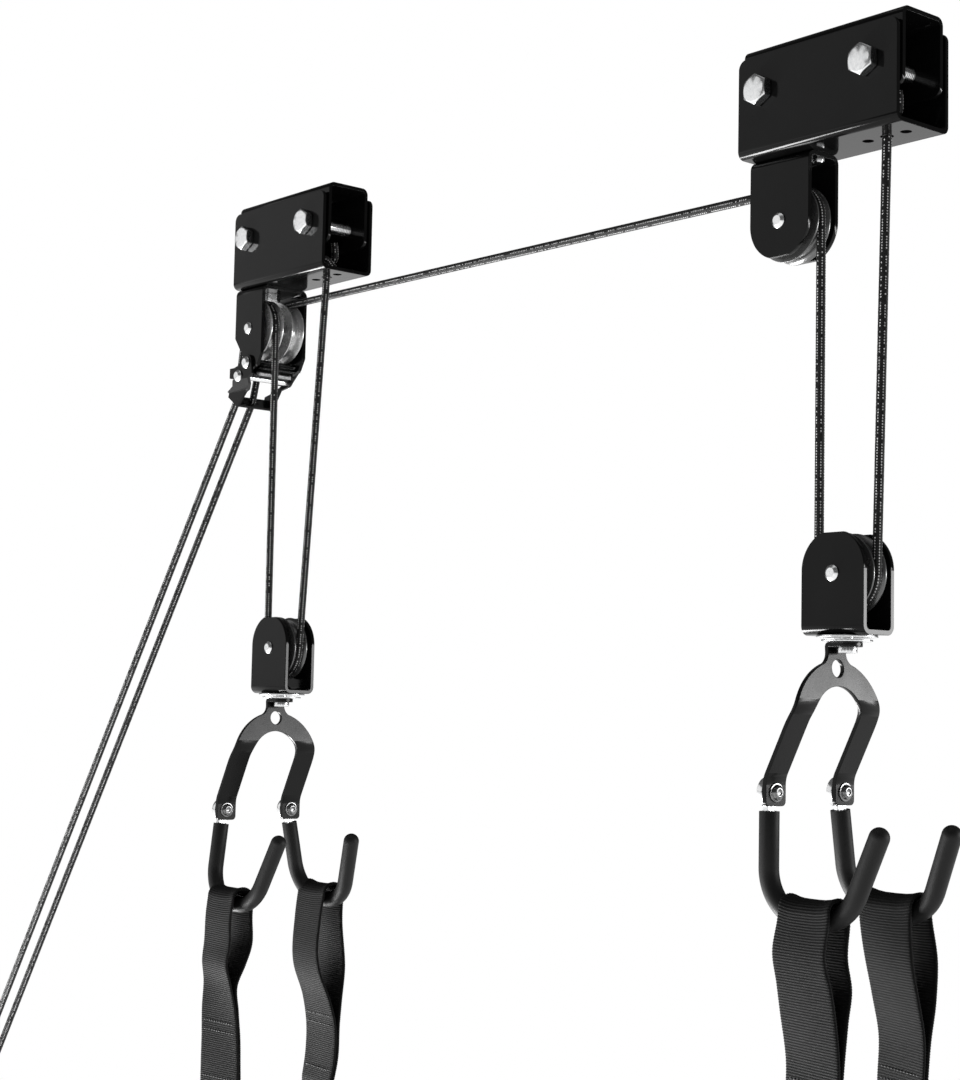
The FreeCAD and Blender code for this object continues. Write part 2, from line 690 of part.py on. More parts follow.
def headed_pin(label, radius, half, height, x, z):
    """Pin across a housing with a domed head at each end; its axis is Y."""
    body = new_body(label)
    head = dim("axle_head") / 2
    crown, rim = head * 0.6, half + height * 0.35
    profile = Drawing(body, "XY").outline(
        (0, -half - height),
        (crown, -half - height),
        (head, -rim),
        (head, -half),
        (radius, -half),
        (radius, half),
        (head, half),
        (head, rim),
        (crown, half + height),
        (0, half + height),
    )
    revolve(profile)
    place(subpart(body, label), x, 0, z)


def sheave_spacer():
    """Washer between the two sheaves of the double housing."""
    body = new_body("left_sheave_spacer")
    gap = SHEAVE_Y * 2 - DOUBLE_HUB
    ring = Drawing(body, "XZ")
    ring.circle(0, 0, dim("hub_radius"))
    ring.circle(0, 0, dim("axle_diameter") / 2 + dim("running_play"))
    pad(ring, gap)
    place(subpart(body, "left_sheave_spacer"), DOUBLE_X, 0, DOUBLE_Z)


# --- Lower blocks ---------------------------------------------------------------


def block(side):
    """Upright bracket round the lower sheave; origin on its axle."""
    body = new_body(f"{side}_block")
    half, base, top = dim("cheek_length") / 2, dim("block_base"), dim("block_top")
    rise, end = dim("block_round_rise"), dim("cheek_round")
    flat_x = root(end * end - (top - rise) * (top - rise))
    outline = Drawing(body, "XZ").outline(
        (-half, -base),
        (half, -base),
        (half, rise, end),
        (flat_x, top),
        (-flat_x, top, end),
        (-half, rise),
    )
    pad(outline, dim("single_width"))
    cheek_cavity(body, dim("single_width"), -base + CHEEK_SHEET, top * 2, half * 2)
    bent_web(body, dim("single_width"), -base, -base + CHEEK_SHEET, dim("cheek_bend"), CHEEK_SHEET)
    play = dim("running_play")
    pocket(Drawing(body, "XZ").circle(0, 0, RIVET / 2 + play), dim("single_width") + 2)
    pocket(Drawing(body, "XY", -base).circle(0, 0, dim("swivel_pin") / 2 + play), CHEEK_SHEET * 3)
    x, z = AXLES[side]
    place(subpart(body, f"{side}_block"), x, 0, z)


def swivel_washers(side):
    """Two thin washers between the block's base and the hanger's tab."""
    body = new_body(f"{side}_swivel_washers")
    hole = dim("swivel_pin") / 2 + dim("running_play")
    upper = Drawing(body, "XY", -dim("running_play"))
    upper.circle(0, 0, dim("swivel_washer") / 2).circle(0, 0, hole)
    lower = Drawing(body, "XY", dim("running_play") - dim("swivel_gap"))
    lower.circle(0, 0, dim("swivel_washer_small") / 2).circle(0, 0, hole)
    pad(upper, dim("washer_sheet"), symmetric=False, backward=True)
    pad(lower, dim("washer_sheet"), symmetric=False)
    x, z = AXLES[side]
    place(subpart(body, f"{side}_swivel_washers"), x, 0, z - dim("block_base"))


def swivel_rivet(side):
    """Headed rivet that hangs the gambrel under its block and lets it turn; origin on the tab."""
    body = new_body(f"{side}_swivel_rivet")
    pin, tab = dim("swivel_pin") / 2, CHEEK_SHEET / 2
    top = tab + dim("swivel_gap") + CHEEK_SHEET + dim("running_play")
    head, height = pin * 1.75, pin * 0.9
    profile = Drawing(body, "XZ").outline(
        (0, -tab - height),
        (pin * 1.5, -tab - height),
        (pin * 1.5, -tab),
        (pin, -tab),
        (pin, top),
        (head, top),
        (head, top + height * 0.5),
        (head * 0.6, top + height),
        (0, top + height),
    )
    revolve(profile)
    x, z = AXLES[side]
    place(subpart(body, f"{side}_swivel_rivet"), x, 0, z - TAB_DROP)


# --- Gambrel hangers ------------------------------------------------------------


def gambrel(side):
    """Inverted-U hanger bent from one plate; origin on the swivel axis in the tab."""
    body = new_body(f"{side}_gambrel")
    reach, half = dim("tab_reach"), CHEEK_SHEET / 2
    upper, lower = dim("upper_bend_reach"), dim("leg_reach")
    upper_z, lower_z, end_z = -dim("upper_bend_depth"), -dim("lower_bend_depth"), -dim("leg_end_depth")
    bent = Drawing(body, "XZ").outline(
        (reach, half),
        (-reach - half, half),
        (-upper - half, upper_z),
        (-lower - half, lower_z),
        (-lower - half, end_z),
        (-lower + half, end_z),
        (-lower + half, lower_z),
        (-upper + half, upper_z),
        (-reach + half, -half),
        (reach, -half),
    )
    wide = dim("arch_outer") * 2 + 4
    pad(bent, wide)
    fillet(body, half * 2, "y", x=reach + half, z=half)
    bend = dim("hanger_bend")
    fillet(body, bend - CHEEK_SHEET, "y", x=upper + half, z=upper_z)
    fillet(body, bend, "y", x=upper - half, z=upper_z)
    fillet(body, bend, "y", x=lower + half, z=lower_z)
    fillet(body, bend - CHEEK_SHEET, "y", x=lower - half, z=lower_z)

    neck, outer, outer_z = dim("neck_width") / 2, dim("arch_outer"), -dim("arch_outer_depth")
    shoulder, hollow = dim("shoulder_reach"), dim("shoulder_round")
    shoulder_z = outer_z + root(outer * outer - shoulder * shoulder)
    neck_z = shoulder_z + hollow * 0.8
    outside = Drawing(body, "YZ")
    outside.rectangle(-wide, end_z - 10, wide, reach * 2)
    outside.outline(
        (-outer, end_z - 5),
        (outer, end_z - 5),
        (outer, outer_z, outer),
        (shoulder, shoulder_z, -hollow),
        (neck, neck_z),
        (neck, reach),
        (-neck, reach),
        (-neck, neck_z, -hollow),
        (-shoulder, shoulder_z, outer),
        (-outer, outer_z),
    )
    pocket(outside, wide * 2)
    inner, inner_z = dim("arch_inner"), -dim("arch_inner_depth")
    arch = Drawing(body, "YZ").outline(
        (-inner, end_z - 5),
        (inner, end_z - 5),
        (inner, inner_z, inner),
        (0, inner_z + inner, inner),
        (-inner, inner_z),
    )
    pocket(arch, wide * 2)
    holes = Drawing(body, "YZ")
    holes.circle(0, -dim("neck_hole_depth"), dim("neck_hole") / 2)
    for y in (-dim("hook_spread"), dim("hook_spread")):
        holes.circle(y, -dim("hook_depth"), dim("hook_bolt") / 2 + dim("running_play"))
    pocket(holes, wide * 2)
    pocket(Drawing(body, "XY").circle(0, 0, dim("swivel_pin") / 2), CHEEK_SHEET * 2)
    fillet(body, neck * 0.9, "z", x=reach, y=neck)
    for y in (outer, inner):
        fillet(body, CHEEK_SHEET, "x", y=y, z=end_z)
    x, z = AXLES[side]
    place(subpart(body, f"{side}_gambrel"), x, 0, z - TAB_DROP)


def hook_bolts(side):
    """Two round-headed bolts through the leg ends, with hex nuts; origin on the swivel axis."""
    body = new_body(f"{side}_hook_shanks")
    face = CHEEK_SHEET / 2 - dim("leg_reach")
    grip = CHEEK_SHEET + dim("hook_eye_gap") * 2 + dim("hook_eye_sheet")
    heads, shanks = Drawing(body, "YZ", face), Drawing(body, "YZ", face)
    for y in (-dim("hook_spread"), dim("hook_spread")):
        heads.circle(y, 0, dim("hook_bolt_head") / 2)
        shanks.circle(y, 0, dim("hook_bolt") / 2)
    pad(heads, dim("hook_bolt_head_height"), symmetric=False)
    pad(shanks, grip + dim("hook_nut") + dim("hook_bolt_tail"), symmetric=False, backward=True)

    nuts = new_body(f"{side}_hook_nuts")
    rings = Drawing(nuts, "YZ", HOOK_X - dim("hook_eye_sheet") / 2 - dim("hook_eye_gap"))
    for y in (-dim("hook_spread"), dim("hook_spread")):
        rings.hexagon(y, 0, dim("hook_nut_flats"))
        rings.circle(y, 0, dim("hook_bolt") / 2 + dim("thread_play"))
    pad(rings, dim("hook_nut"), symmetric=False, backward=True)
    x, z = AXLES[side]
    place(grouped(f"{side}_hook_bolts", body, nuts), x, 0, z - HOOK_DROP)


# --- Hooks ----------------------------------------------------------------------


def hook_line(body, top, short):
    """Centre line of a hook from its bolt down, round the bottom and up its leaning arm."""
    bend, drop, flat = dim("hook_bend"), dim("hook_drop"), dim("hook_flat")
    lean = dim("hook_lean")
    turned_x = bend + flat + bend * cosine(lean)
    turned_z = -drop + bend - bend * sine(lean)
    arm = dim("hook_arm") - short
    return Drawing(body, "XZ").path(
        [
            (0, -top),
            (0, bend - drop, bend),
            (bend, -drop),
            (bend + flat, -drop, bend),
            (turned_x, turned_z),
            (turned_x + arm * sine(lean), turned_z + arm * cosine(lean)),
        ]
    )


def hook(side, where, splay):
    """Steel rod hook with a flattened eye, and its soft coating, hanging from one hanger leg."""
    outward = 1 if where == "rear" else -1
    x, z = AXLES[side]
    turn = Rotation(AXES["x"], outward * splay.value)
    spot = (x + HOOK_X, dim("hook_spread") * outward, z - HOOK_DROP, turn)

    rod = new_body(f"{side}_{where}_hook_rod")
    inset = dim("sleeve_diameter") / 2 + 0.5
    start = dim("hook_eye") / 4
    pipe(Drawing(rod, "XY", -start).circle(0, 0, dim("hook_rod") / 2), hook_line(rod, start, inset))
    pad(Drawing(rod, "YZ").circle(0, 0, dim("hook_eye") / 2), dim("hook_eye_sheet"))
    beside = Drawing(rod, "YZ", dim("hook_eye_sheet") / 2)
    beside.circle(0, 0, dim("hook_flattened"))
    pocket(beside, dim("hook_rod"), symmetric=False, backward=True)
    behind = Drawing(rod, "YZ", -dim("hook_eye_sheet") / 2)
    behind.circle(0, 0, dim("hook_flattened"))
    pocket(behind, dim("hook_rod"), symmetric=False)
    pocket(Drawing(rod, "YZ").circle(0, 0, dim("hook_bolt") / 2 + dim("running_play")), dim("hook_rod") * 2)
    place(subpart(rod, f"{side}_{where}_hook_rod"), *spot)

    sleeve = new_body(f"{side}_{where}_hook_sleeve")
    top = dim("sleeve_start")
    ring = Drawing(sleeve, "XY", -top)
    ring.circle(0, 0, dim("sleeve_diameter") / 2).circle(0, 0, dim("hook_rod") / 2)
    pipe(ring, hook_line(sleeve, top, 0))
    lean, bend = dim("hook_lean"), dim("hook_bend")
    cap = sleeve.newObject("PartDesign::AdditiveSphere", "Cap")
    bind(cap, "Radius", dim("sleeve_diameter") / 2)
    cap_x = bend + dim("hook_flat") + bend * cosine(lean) + dim("hook_arm") * sine(lean)
    cap_z = -dim("hook_drop") + bend - bend * sine(lean) + dim("hook_arm") * cosine(lean)
    place(cap, cap_x, 0, cap_z)
    doc.recompute()
    place(subpart(sleeve, f"{side}_{where}_hook_sleeve"), *spot)


# --- Straps ---------------------------------------------------------------------


def hook_bottom_y(where, splay):
    outward = 1 if where == "rear" else -1
    return (dim("hook_spread") + dim("hook_drop") * sine(splay)) * outward


def hook_bottom_z(side, splay):
    return AXLES[side][1] - HOOK_DROP - dim("hook_drop") * cosine(splay)


def strap_x(side):
    return AXLES[side][0] + HOOK_X + dim("hook_bend") + dim("hook_flat") / 2


def strap_loop(side, where, splay):
    """Webbing loop over a hook, sewn shut below; origin at the hook's lowest centre."""
    body = new_body(f"{side}_{where}_strap_loop")
    inner = dim("sleeve_diameter") / 2 + dim("loop_play")
    outer = inner + dim("strap_sheet")
    rise, length = dim("loop_rise"), dim("loop_length")
    sewn, shoulder_z = dim("strap_sheet"), rise - inner * 0.5
    outside = Drawing(body, "YZ").outline(
        (-sewn, -length),
        (sewn, -length),
        (outer, -length * 0.6),
        (outer, shoulder_z, inner),
        (inner * 0.5, rise + sewn),
        (-inner * 0.5, rise + sewn, inner),
        (-outer, shoulder_z),
        (-outer, -length * 0.6),
    )
    pad(outside, dim("loop_width"))
    hollow = Drawing(body, "YZ").outline(
        (0, -length * 0.95),
        (inner, -length * 0.6),
        (inner, shoulder_z),
        (inner * 0.4, rise),
        (-inner * 0.4, rise),
        (-inner, shoulder_z),
        (-inner, -length * 0.6),
    )
    pocket(hollow, dim("strap_width") * 2)
    spot = (strap_x(side), hook_bottom_y(where, splay), hook_bottom_z(side, splay))
    place(subpart(body, f"{side}_{where}_strap_loop"), *spot)


def sling(side, splays):
    """Single webbing from one loop down and back up to the other."""
    body = new_body(f"{side}_sling")
    front, rear = (hook_bottom_y(where, splay) for where, splay in splays)
    seam = dim("loop_length") + dim("loop_gap")
    front_top, rear_top = (hook_bottom_z(side, splay) - seam for _where, splay in splays)
    middle, half, sheet_half = (front + rear) / 2, (rear - front) / 2, dim("strap_sheet") / 2
    low = hook_bottom_z(side, splays[0][1]) - dim("sling_drop") + half
    outer, inner = half + sheet_half, half - sheet_half
    band = Drawing(body, "YZ").outline(
        (middle - outer, front_top),
        (middle - outer, low, outer),
        (middle, low - outer, outer),
        (middle + outer, low),
        (middle + outer, rear_top),
        (middle + inner, rear_top),
        (middle + inner, low, -inner),
        (middle, low - inner, -inner),
        (middle - inner, low),
        (middle - inner, front_top),
    )
    pad(band, dim("strap_width"))
    place(subpart(body, f"{side}_sling"), strap_x(side))


# --- Rope lock ------------------------------------------------------------------


def lock_pins():
    """Headed pins of the lock: the one it turns on, and the one that joins its side plates."""
    outside = DOUBLE_HALF + dim("lock_side_gap") + dim("lock_sheet")
    pin, head = dim("lock_pin") / 2, dim("axle_head_height")
    headed_pin("lock_pin", pin, outside + dim("lock_side_gap"), head, LOCK_X, LOCK_Z)
    bolt_x, bolt_z = LOCK_X + dim("lock_bolt_shift"), LOCK_Z - dim("lock_bolt_drop")
    headed_pin("lock_frame_bolt", pin, outside, head * 1.3, bolt_x, bolt_z)


def lock_frame():
    """Swinging yoke: two side plates outside the housing and a fairlead across; origin on the pin."""
    body = new_body("lock_frame")
    ear, steel = dim("lock_ear"), dim("lock_sheet")
    inside = DOUBLE_HALF + dim("lock_side_gap")
    across_x, across_z = -PULL_Z, PULL_X
    inner_edge, outer_edge = dim("fairlead_inner"), dim("fairlead_outer")
    near_x, near_z = EXIT_X + across_x * inner_edge, EXIT_Z + across_z * inner_edge
    far_x, far_z = EXIT_X - across_x * outer_edge, EXIT_Z - across_z * outer_edge
    tab_x, tab_top = -dim("lock_tab_reach"), -dim("lock_tab_drop")
    tab_low, tab_root = tab_top - dim("lock_tab_width"), tab_x + dim("lock_tab_width") * 0.75
    lip_x, lip_z = -dim("lock_lip_reach"), -dim("lock_lip_drop")
    waist_x, waist_z = -dim("lock_waist_reach"), -dim("lock_waist_drop")
    bolt_x, bolt_z = dim("lock_bolt_shift"), -dim("lock_bolt_drop")
    plate = Drawing(body, "XZ").outline(
        (0, ear, ear),
        (-ear, 0),
        (tab_root, tab_top),
        (tab_x, tab_top),
        (tab_x, tab_low),
        (tab_root, tab_low - ear * 0.2),
        (lip_x + ear * 2, lip_z + ear * 0.4),
        (lip_x, lip_z),
        (far_x, far_z),
        (near_x, near_z),
        (waist_x, waist_z),
        (-ear * 0.6, waist_z + ear * 0.7),
        (ear * 1.2, -ear * 1.4),
        (ear, 0, ear),
    )
    pad(plate, (inside + steel) * 2)

    front, wide = dim("crank_inside"), ear * 20
    above_x, above_z = -PULL_X * steel, -PULL_Z * steel
    room = Drawing(body, "XZ", front).outline(
        (ear * 3, ear * 3),
        (-ear * 9, ear * 3),
        (far_x - across_x * wide + above_x, far_z - across_z * wide + above_z),
        (near_x + across_x * wide + above_x, near_z + across_z * wide + above_z),
    )
    pocket(room, front + inside, symmetric=False)
    crank_top, crank_foot = -dim("crank_top"), -dim("crank_bottom")
    behind_crank = Drawing(body, "YZ").outline(
        (-front, crank_foot),
        (-front, ear * 2),
        (-inside, ear * 2),
        (-inside, crank_top),
    )
    pocket(behind_crank, wide)
    beyond_crank = Drawing(body, "YZ").outline(
        (-inside - steel, crank_top - steel * 0.3),
        (-front - steel, crank_foot - steel * 0.3),
        (-front - steel, -wide),
        (-inside - steel * 2, -wide),
        (-inside - steel * 2, crank_top - steel * 0.3),
    )
    pocket(beyond_crank, wide)
    rear_trim = Drawing(body, "XZ", -inside + steel).outline(
        (ear * 0.8, -ear * 0.5),
        (bolt_x + ear * 0.6, bolt_z - ear * 0.6),
        (bolt_x - ear * 1.2, bolt_z - ear * 0.9),
        (waist_x - ear * 1.2, waist_z - ear * 0.5),
        (near_x + steel * 0.5, -wide),
        (ear * 3, -wide),
        (ear * 3, -ear * 0.5),
    )
    pocket(rear_trim, steel * 3, symmetric=False)

    pins = Drawing(body, "XZ")
    pins.circle(0, 0, dim("lock_pin") / 2 + dim("running_play"))
    pins.circle(bolt_x, bolt_z, dim("lock_pin") / 2)
    pocket(pins, inside * 4)
    slots = Drawing(body, "XY")
    hole = dim("fairlead_hole") / 2
    for y in (-dim("pull_half_gap"), dim("pull_half_gap")):
        slots.rectangle(EXIT_X - hole * 0.9, y - hole * 0.8, EXIT_X + hole * 1.2, y + hole * 0.8)
    pocket(slots, wide)
    place(subpart(body, "lock_frame"), LOCK_X, 0, LOCK_Z)


def lock_cam():
    """Toothed jaw that turns on the lock pin between the cheeks; origin on the pin."""
    body = new_body("lock_cam")
    hub, nose, teeth = dim("cam_hub"), dim("cam_nose"), int(number(dim("cam_teeth")))
    width = dim("double_width") - (CHEEK_SHEET + dim("cam_gap")) * 2
    first, sweep = 170, 200
    section = []
    for index in range(teeth * 2 + 1):
        angle = math.radians(first + index * sweep / (teeth * 2))
        reach = nose if index % 2 else nose - dim("cam_tooth")
        section.append((reach * math.cos(angle), reach * math.sin(angle)))
    for degrees, corner in ((20, (hub,)), (160, ())):
        angle = math.radians(degrees)
        section.append((hub * math.cos(angle), hub * math.sin(angle)) + corner)
    pad(Drawing(body, "XZ").outline(*section), width)
    bore = dim("lock_pin") / 2 + dim("running_play")
    pocket(Drawing(body, "XZ").circle(0, 0, bore), width * 2)
    place(subpart(body, "lock_cam"), LOCK_X, 0, LOCK_Z)


# --- Ropes ----------------------------------------------------------------------


def rope_line(start, end):
    """A straight rope between two points."""
    line = doc.addObject("Part::Cylinder", "RopeLine")
    gap = [b - a for a, b in zip(start, end)]
    length = root(gap[0] * gap[0] + gap[1] * gap[1] + gap[2] * gap[2])
    bind(line, "Radius", ROPE)
    bind(line, "Height", length)
    direction = Vector(*(number(g) for g in gap))
    return place(line, *start, Rotation(AXES["z"], direction))


def rope_wrap(x, y, z, first, sweep):
    """Rope round a sheave from an angle counter-clockwise, seen from the front."""
    ring = doc.addObject("Part::Torus", "RopeWrap")
    bind(ring, "Radius1", WRAP)
    bind(ring, "Radius2", ROPE)
    ring.Angle3 = sweep
    upright = Rotation(AXES["x"], AXES["z"], -AXES["y"], "XZY")
    return place(ring, x, y, z, upright * Rotation(AXES["z"], first))


def joined(label, *pieces):
    fuse = doc.addObject("Part::MultiFuse", label)
    fuse.Shapes = list(pieces)
    return subpart(fuse, label)


def grouped(label, *pieces):
    group = doc.addObject("Part::Compound", label)
    group.Links = list(pieces)
    return subpart(group, label)


def rope_falls(side):
    """The fixed and the running fall of one lower block, as two straight ropes."""
    x, z = AXLES[side]
    bracket = dict(BRACKETS)[side]
    anchor = (bracket + dim("anchor_offset"), NIL, -BOX_DROP - MEET)
    if side == "right":
        top = (SINGLE_X + WRAP, NIL, SINGLE_Z - MEET)
    else:
        top = (DOUBLE_X + WRAP, -SHEAVE_Y, DOUBLE_Z - MEET)
    fixed = rope_line(anchor, (x + WRAP, NIL, z + MEET))
    running = rope_line(top, (x - WRAP, NIL, z + MEET))
    grouped(f"{side}_rope_falls", fixed, running)


def rope_under(side):
    """The rope round the lower sheave."""
    x, z = AXLES[side]
    subpart(rope_wrap(x, NIL, z, 180, 180), f"{side}_lower_rope_wrap")


def anchor_knot(side, middle):
    """Stopper knot above the anchor hole, with the rope through the hole."""
    knot = doc.addObject("Part::Torus", "Knot")
    bind(knot, "Radius1", ROPE * 1.3)
    bind(knot, "Radius2", ROPE)
    x = middle + dim("anchor_offset")
    base = -BOX_DROP + CHANNEL_SHEET
    place(knot, x, 0, base + ROPE * 1.05)
    upper = doc.addObject("Part::Torus", "Knot")
    bind(upper, "Radius1", ROPE * 1.1)
    bind(upper, "Radius2", ROPE)
    place(upper, x, 0, base + ROPE * 2.6)
    stem = rope_line((x, NIL, -BOX_DROP), (x, NIL, base + ROPE * 4.5))
    joined(f"{side}_anchor_knot", knot, upper, stem)


def upper_ropes():
    """The rope from the single sheave over the rear sheave, and the one over the front sheave."""
    over_right = rope_wrap(SINGLE_X, NIL, SINGLE_Z, 0, 90)
    run = rope_line((SINGLE_X, NIL, SINGLE_Z + WRAP), (DOUBLE_X, SHEAVE_Y, DOUBLE_Z + WRAP))
    over_left = rope_wrap(DOUBLE_X, SHEAVE_Y, DOUBLE_Z, 90, number(LOCK_ENTRY) - 90)
    cross = doc.addObject("Part::MultiFuse", "CrossRope")
    cross.Shapes = [over_right, run, over_left]
    over_front = rope_wrap(DOUBLE_X, -SHEAVE_Y, DOUBLE_Z, 0, number(LOCK_ENTRY))
    grouped("upper_ropes", cross, over_front)


def lock_ropes():
    """From the two upper sheaves down to the fairlead."""
    pieces = []
    for way in (-1, 1):
        start_x = DOUBLE_X + WRAP * cosine(LOCK_ENTRY)
        start_z = DOUBLE_Z + WRAP * sine(LOCK_ENTRY) - MEET * 2
        end = (LOCK_X + EXIT_X, dim("pull_half_gap") * way, LOCK_Z + EXIT_Z)
        pieces.append(rope_line((start_x, SHEAVE_Y * way, start_z), end))
    grouped("lock_ropes", *pieces)


def pull_point(way, distance):
    """A point on a pull rope, at a distance beyond the fairlead."""
    x = LOCK_X + EXIT_X + PULL_X * distance
    return x, dim("pull_half_gap") * way, LOCK_Z + EXIT_Z + PULL_Z * distance


def pull_rope(name, way):
    """The rope that is pulled, from the fairlead outward and down, and its knotted end."""
    start = dim("pull_start")
    knot_start = dim("pull_length") - dim("knot_length")
    subpart(rope_line(pull_point(way, start), pull_point(way, knot_start)), f"{name}_pull_rope")
    stem = rope_line(pull_point(way, knot_start + MEET * 2), pull_point(way, dim("pull_length")))
    knot = doc.addObject("Part::Torus", "Knot")
    bind(knot, "Radius1", ROPE * 1.2)
    bind(knot, "Radius2", ROPE)
    along = Rotation(AXES["z"], Vector(number(PULL_X), 0, number(PULL_Z)))
    place(knot, *pull_point(way, knot_start + dim("knot_length") / 2), along)
    joined(f"{name}_pull_rope_end", stem, knot)


# --- Assembly -------------------------------------------------------------------

SPLAYS = {
    "right": (("front", dim("splay_right_front")), ("rear", dim("splay_right_rear"))),
    "left": (("front", dim("splay_left_front")), ("rear", dim("splay_left_rear"))),
}

for side, middle in BRACKETS:
    inner_channel(side, middle)
    outer_channel(side, middle)
    anchor_knot(side, middle)
clamp_bolts()
clamp_nuts()
single_housing()
double_housing()
housing_rivets()
housing_bolt()

SINGLE_GAP = dim("single_width") - CHEEK_SHEET * 2
sheave("right_upper_sheave", SINGLE_GAP, SINGLE_X, NIL, SINGLE_Z)
sheave("left_front_sheave", DOUBLE_HUB, DOUBLE_X, -SHEAVE_Y, DOUBLE_Z)
sheave("left_rear_sheave", DOUBLE_HUB, DOUBLE_X, SHEAVE_Y, DOUBLE_Z)
sheave_spacer()
headed_pin("right_upper_axle", RIVET / 2, SINGLE_HALF, HEAD, SINGLE_X, SINGLE_Z)
headed_pin("left_upper_axle", RIVET / 2, DOUBLE_HALF, HEAD, DOUBLE_X, DOUBLE_Z)

for side, splays in SPLAYS.items():
    axle_x, axle_z = AXLES[side]
    block(side)
    sheave(f"{side}_lower_sheave", SINGLE_GAP, axle_x, NIL, axle_z)
    headed_pin(f"{side}_lower_axle", RIVET / 2, SINGLE_HALF, HEAD, axle_x, axle_z)
    swivel_washers(side)
    swivel_rivet(side)
    gambrel(side)
    hook_bolts(side)
    for where, splay in splays:
        hook(side, where, splay)
        strap_loop(side, where, splay)
    sling(side, splays)
    rope_falls(side)
    rope_under(side)

lock_pins()
lock_frame()
lock_cam()
upper_ropes()
lock_ropes()
pull_rope("front", -1)
pull_rope("rear", 1)

# --- Check and write ------------------------------------------------------------

doc.recompute()
for thing in doc.Objects:
    if {"Invalid", "Error"} & set(thing.State):
        raise RuntimeError(f"{thing.Label} failed: {thing.State}")
for thing in SUBPARTS:
    if thing.Shape.isNull() or not thing.Shape.isValid():
        raise RuntimeError(f"{thing.Label} has no valid shape")

os.makedirs("parts", exist_ok=True)
for thing in SUBPARTS:
    thing.Shape.exportStep(f"parts/{thing.Label}.step")
print(len(SUBPARTS), "sub-parts")
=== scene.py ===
"""Finish, ropes, webbing and fasteners for the two-bracket rope hoist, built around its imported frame.

Everything is in metres in the frame's own axes: +X towards the single-sheave bracket,
+Y to the rear and +Z up, with the ceiling at z = 0.
"""

import json
import math

import bpy
import numpy as np
from mathutils import Matrix, Vector


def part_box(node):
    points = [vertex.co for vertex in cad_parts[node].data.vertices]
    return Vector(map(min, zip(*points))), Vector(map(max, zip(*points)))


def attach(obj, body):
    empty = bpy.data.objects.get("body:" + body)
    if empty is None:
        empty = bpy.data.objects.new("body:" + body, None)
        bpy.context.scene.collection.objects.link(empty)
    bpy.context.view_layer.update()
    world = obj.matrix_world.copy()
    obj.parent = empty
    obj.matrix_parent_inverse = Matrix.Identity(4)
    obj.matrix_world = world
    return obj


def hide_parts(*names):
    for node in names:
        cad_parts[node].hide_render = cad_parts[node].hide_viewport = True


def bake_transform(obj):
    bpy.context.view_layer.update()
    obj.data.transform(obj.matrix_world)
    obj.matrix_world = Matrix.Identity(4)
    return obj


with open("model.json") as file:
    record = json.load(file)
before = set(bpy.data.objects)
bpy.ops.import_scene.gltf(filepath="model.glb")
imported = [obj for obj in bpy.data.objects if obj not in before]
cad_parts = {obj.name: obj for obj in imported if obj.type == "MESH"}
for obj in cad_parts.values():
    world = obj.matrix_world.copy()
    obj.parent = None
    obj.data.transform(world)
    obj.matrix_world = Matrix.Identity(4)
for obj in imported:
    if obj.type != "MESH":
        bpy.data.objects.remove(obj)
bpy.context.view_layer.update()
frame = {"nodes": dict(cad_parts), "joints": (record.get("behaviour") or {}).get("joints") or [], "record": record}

MM = 0.001
SIDES = ("right", "left")
WHERES = ("front", "rear")
OUTWARD = {"front": -1, "rear": 1}


def centre(node):
    low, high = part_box(node)
    return (low + high) / 2


def joint(name):
    return next(j for j in frame["joints"] if j["name"] == name)


# --- Materials ------------------------------------------------------------------


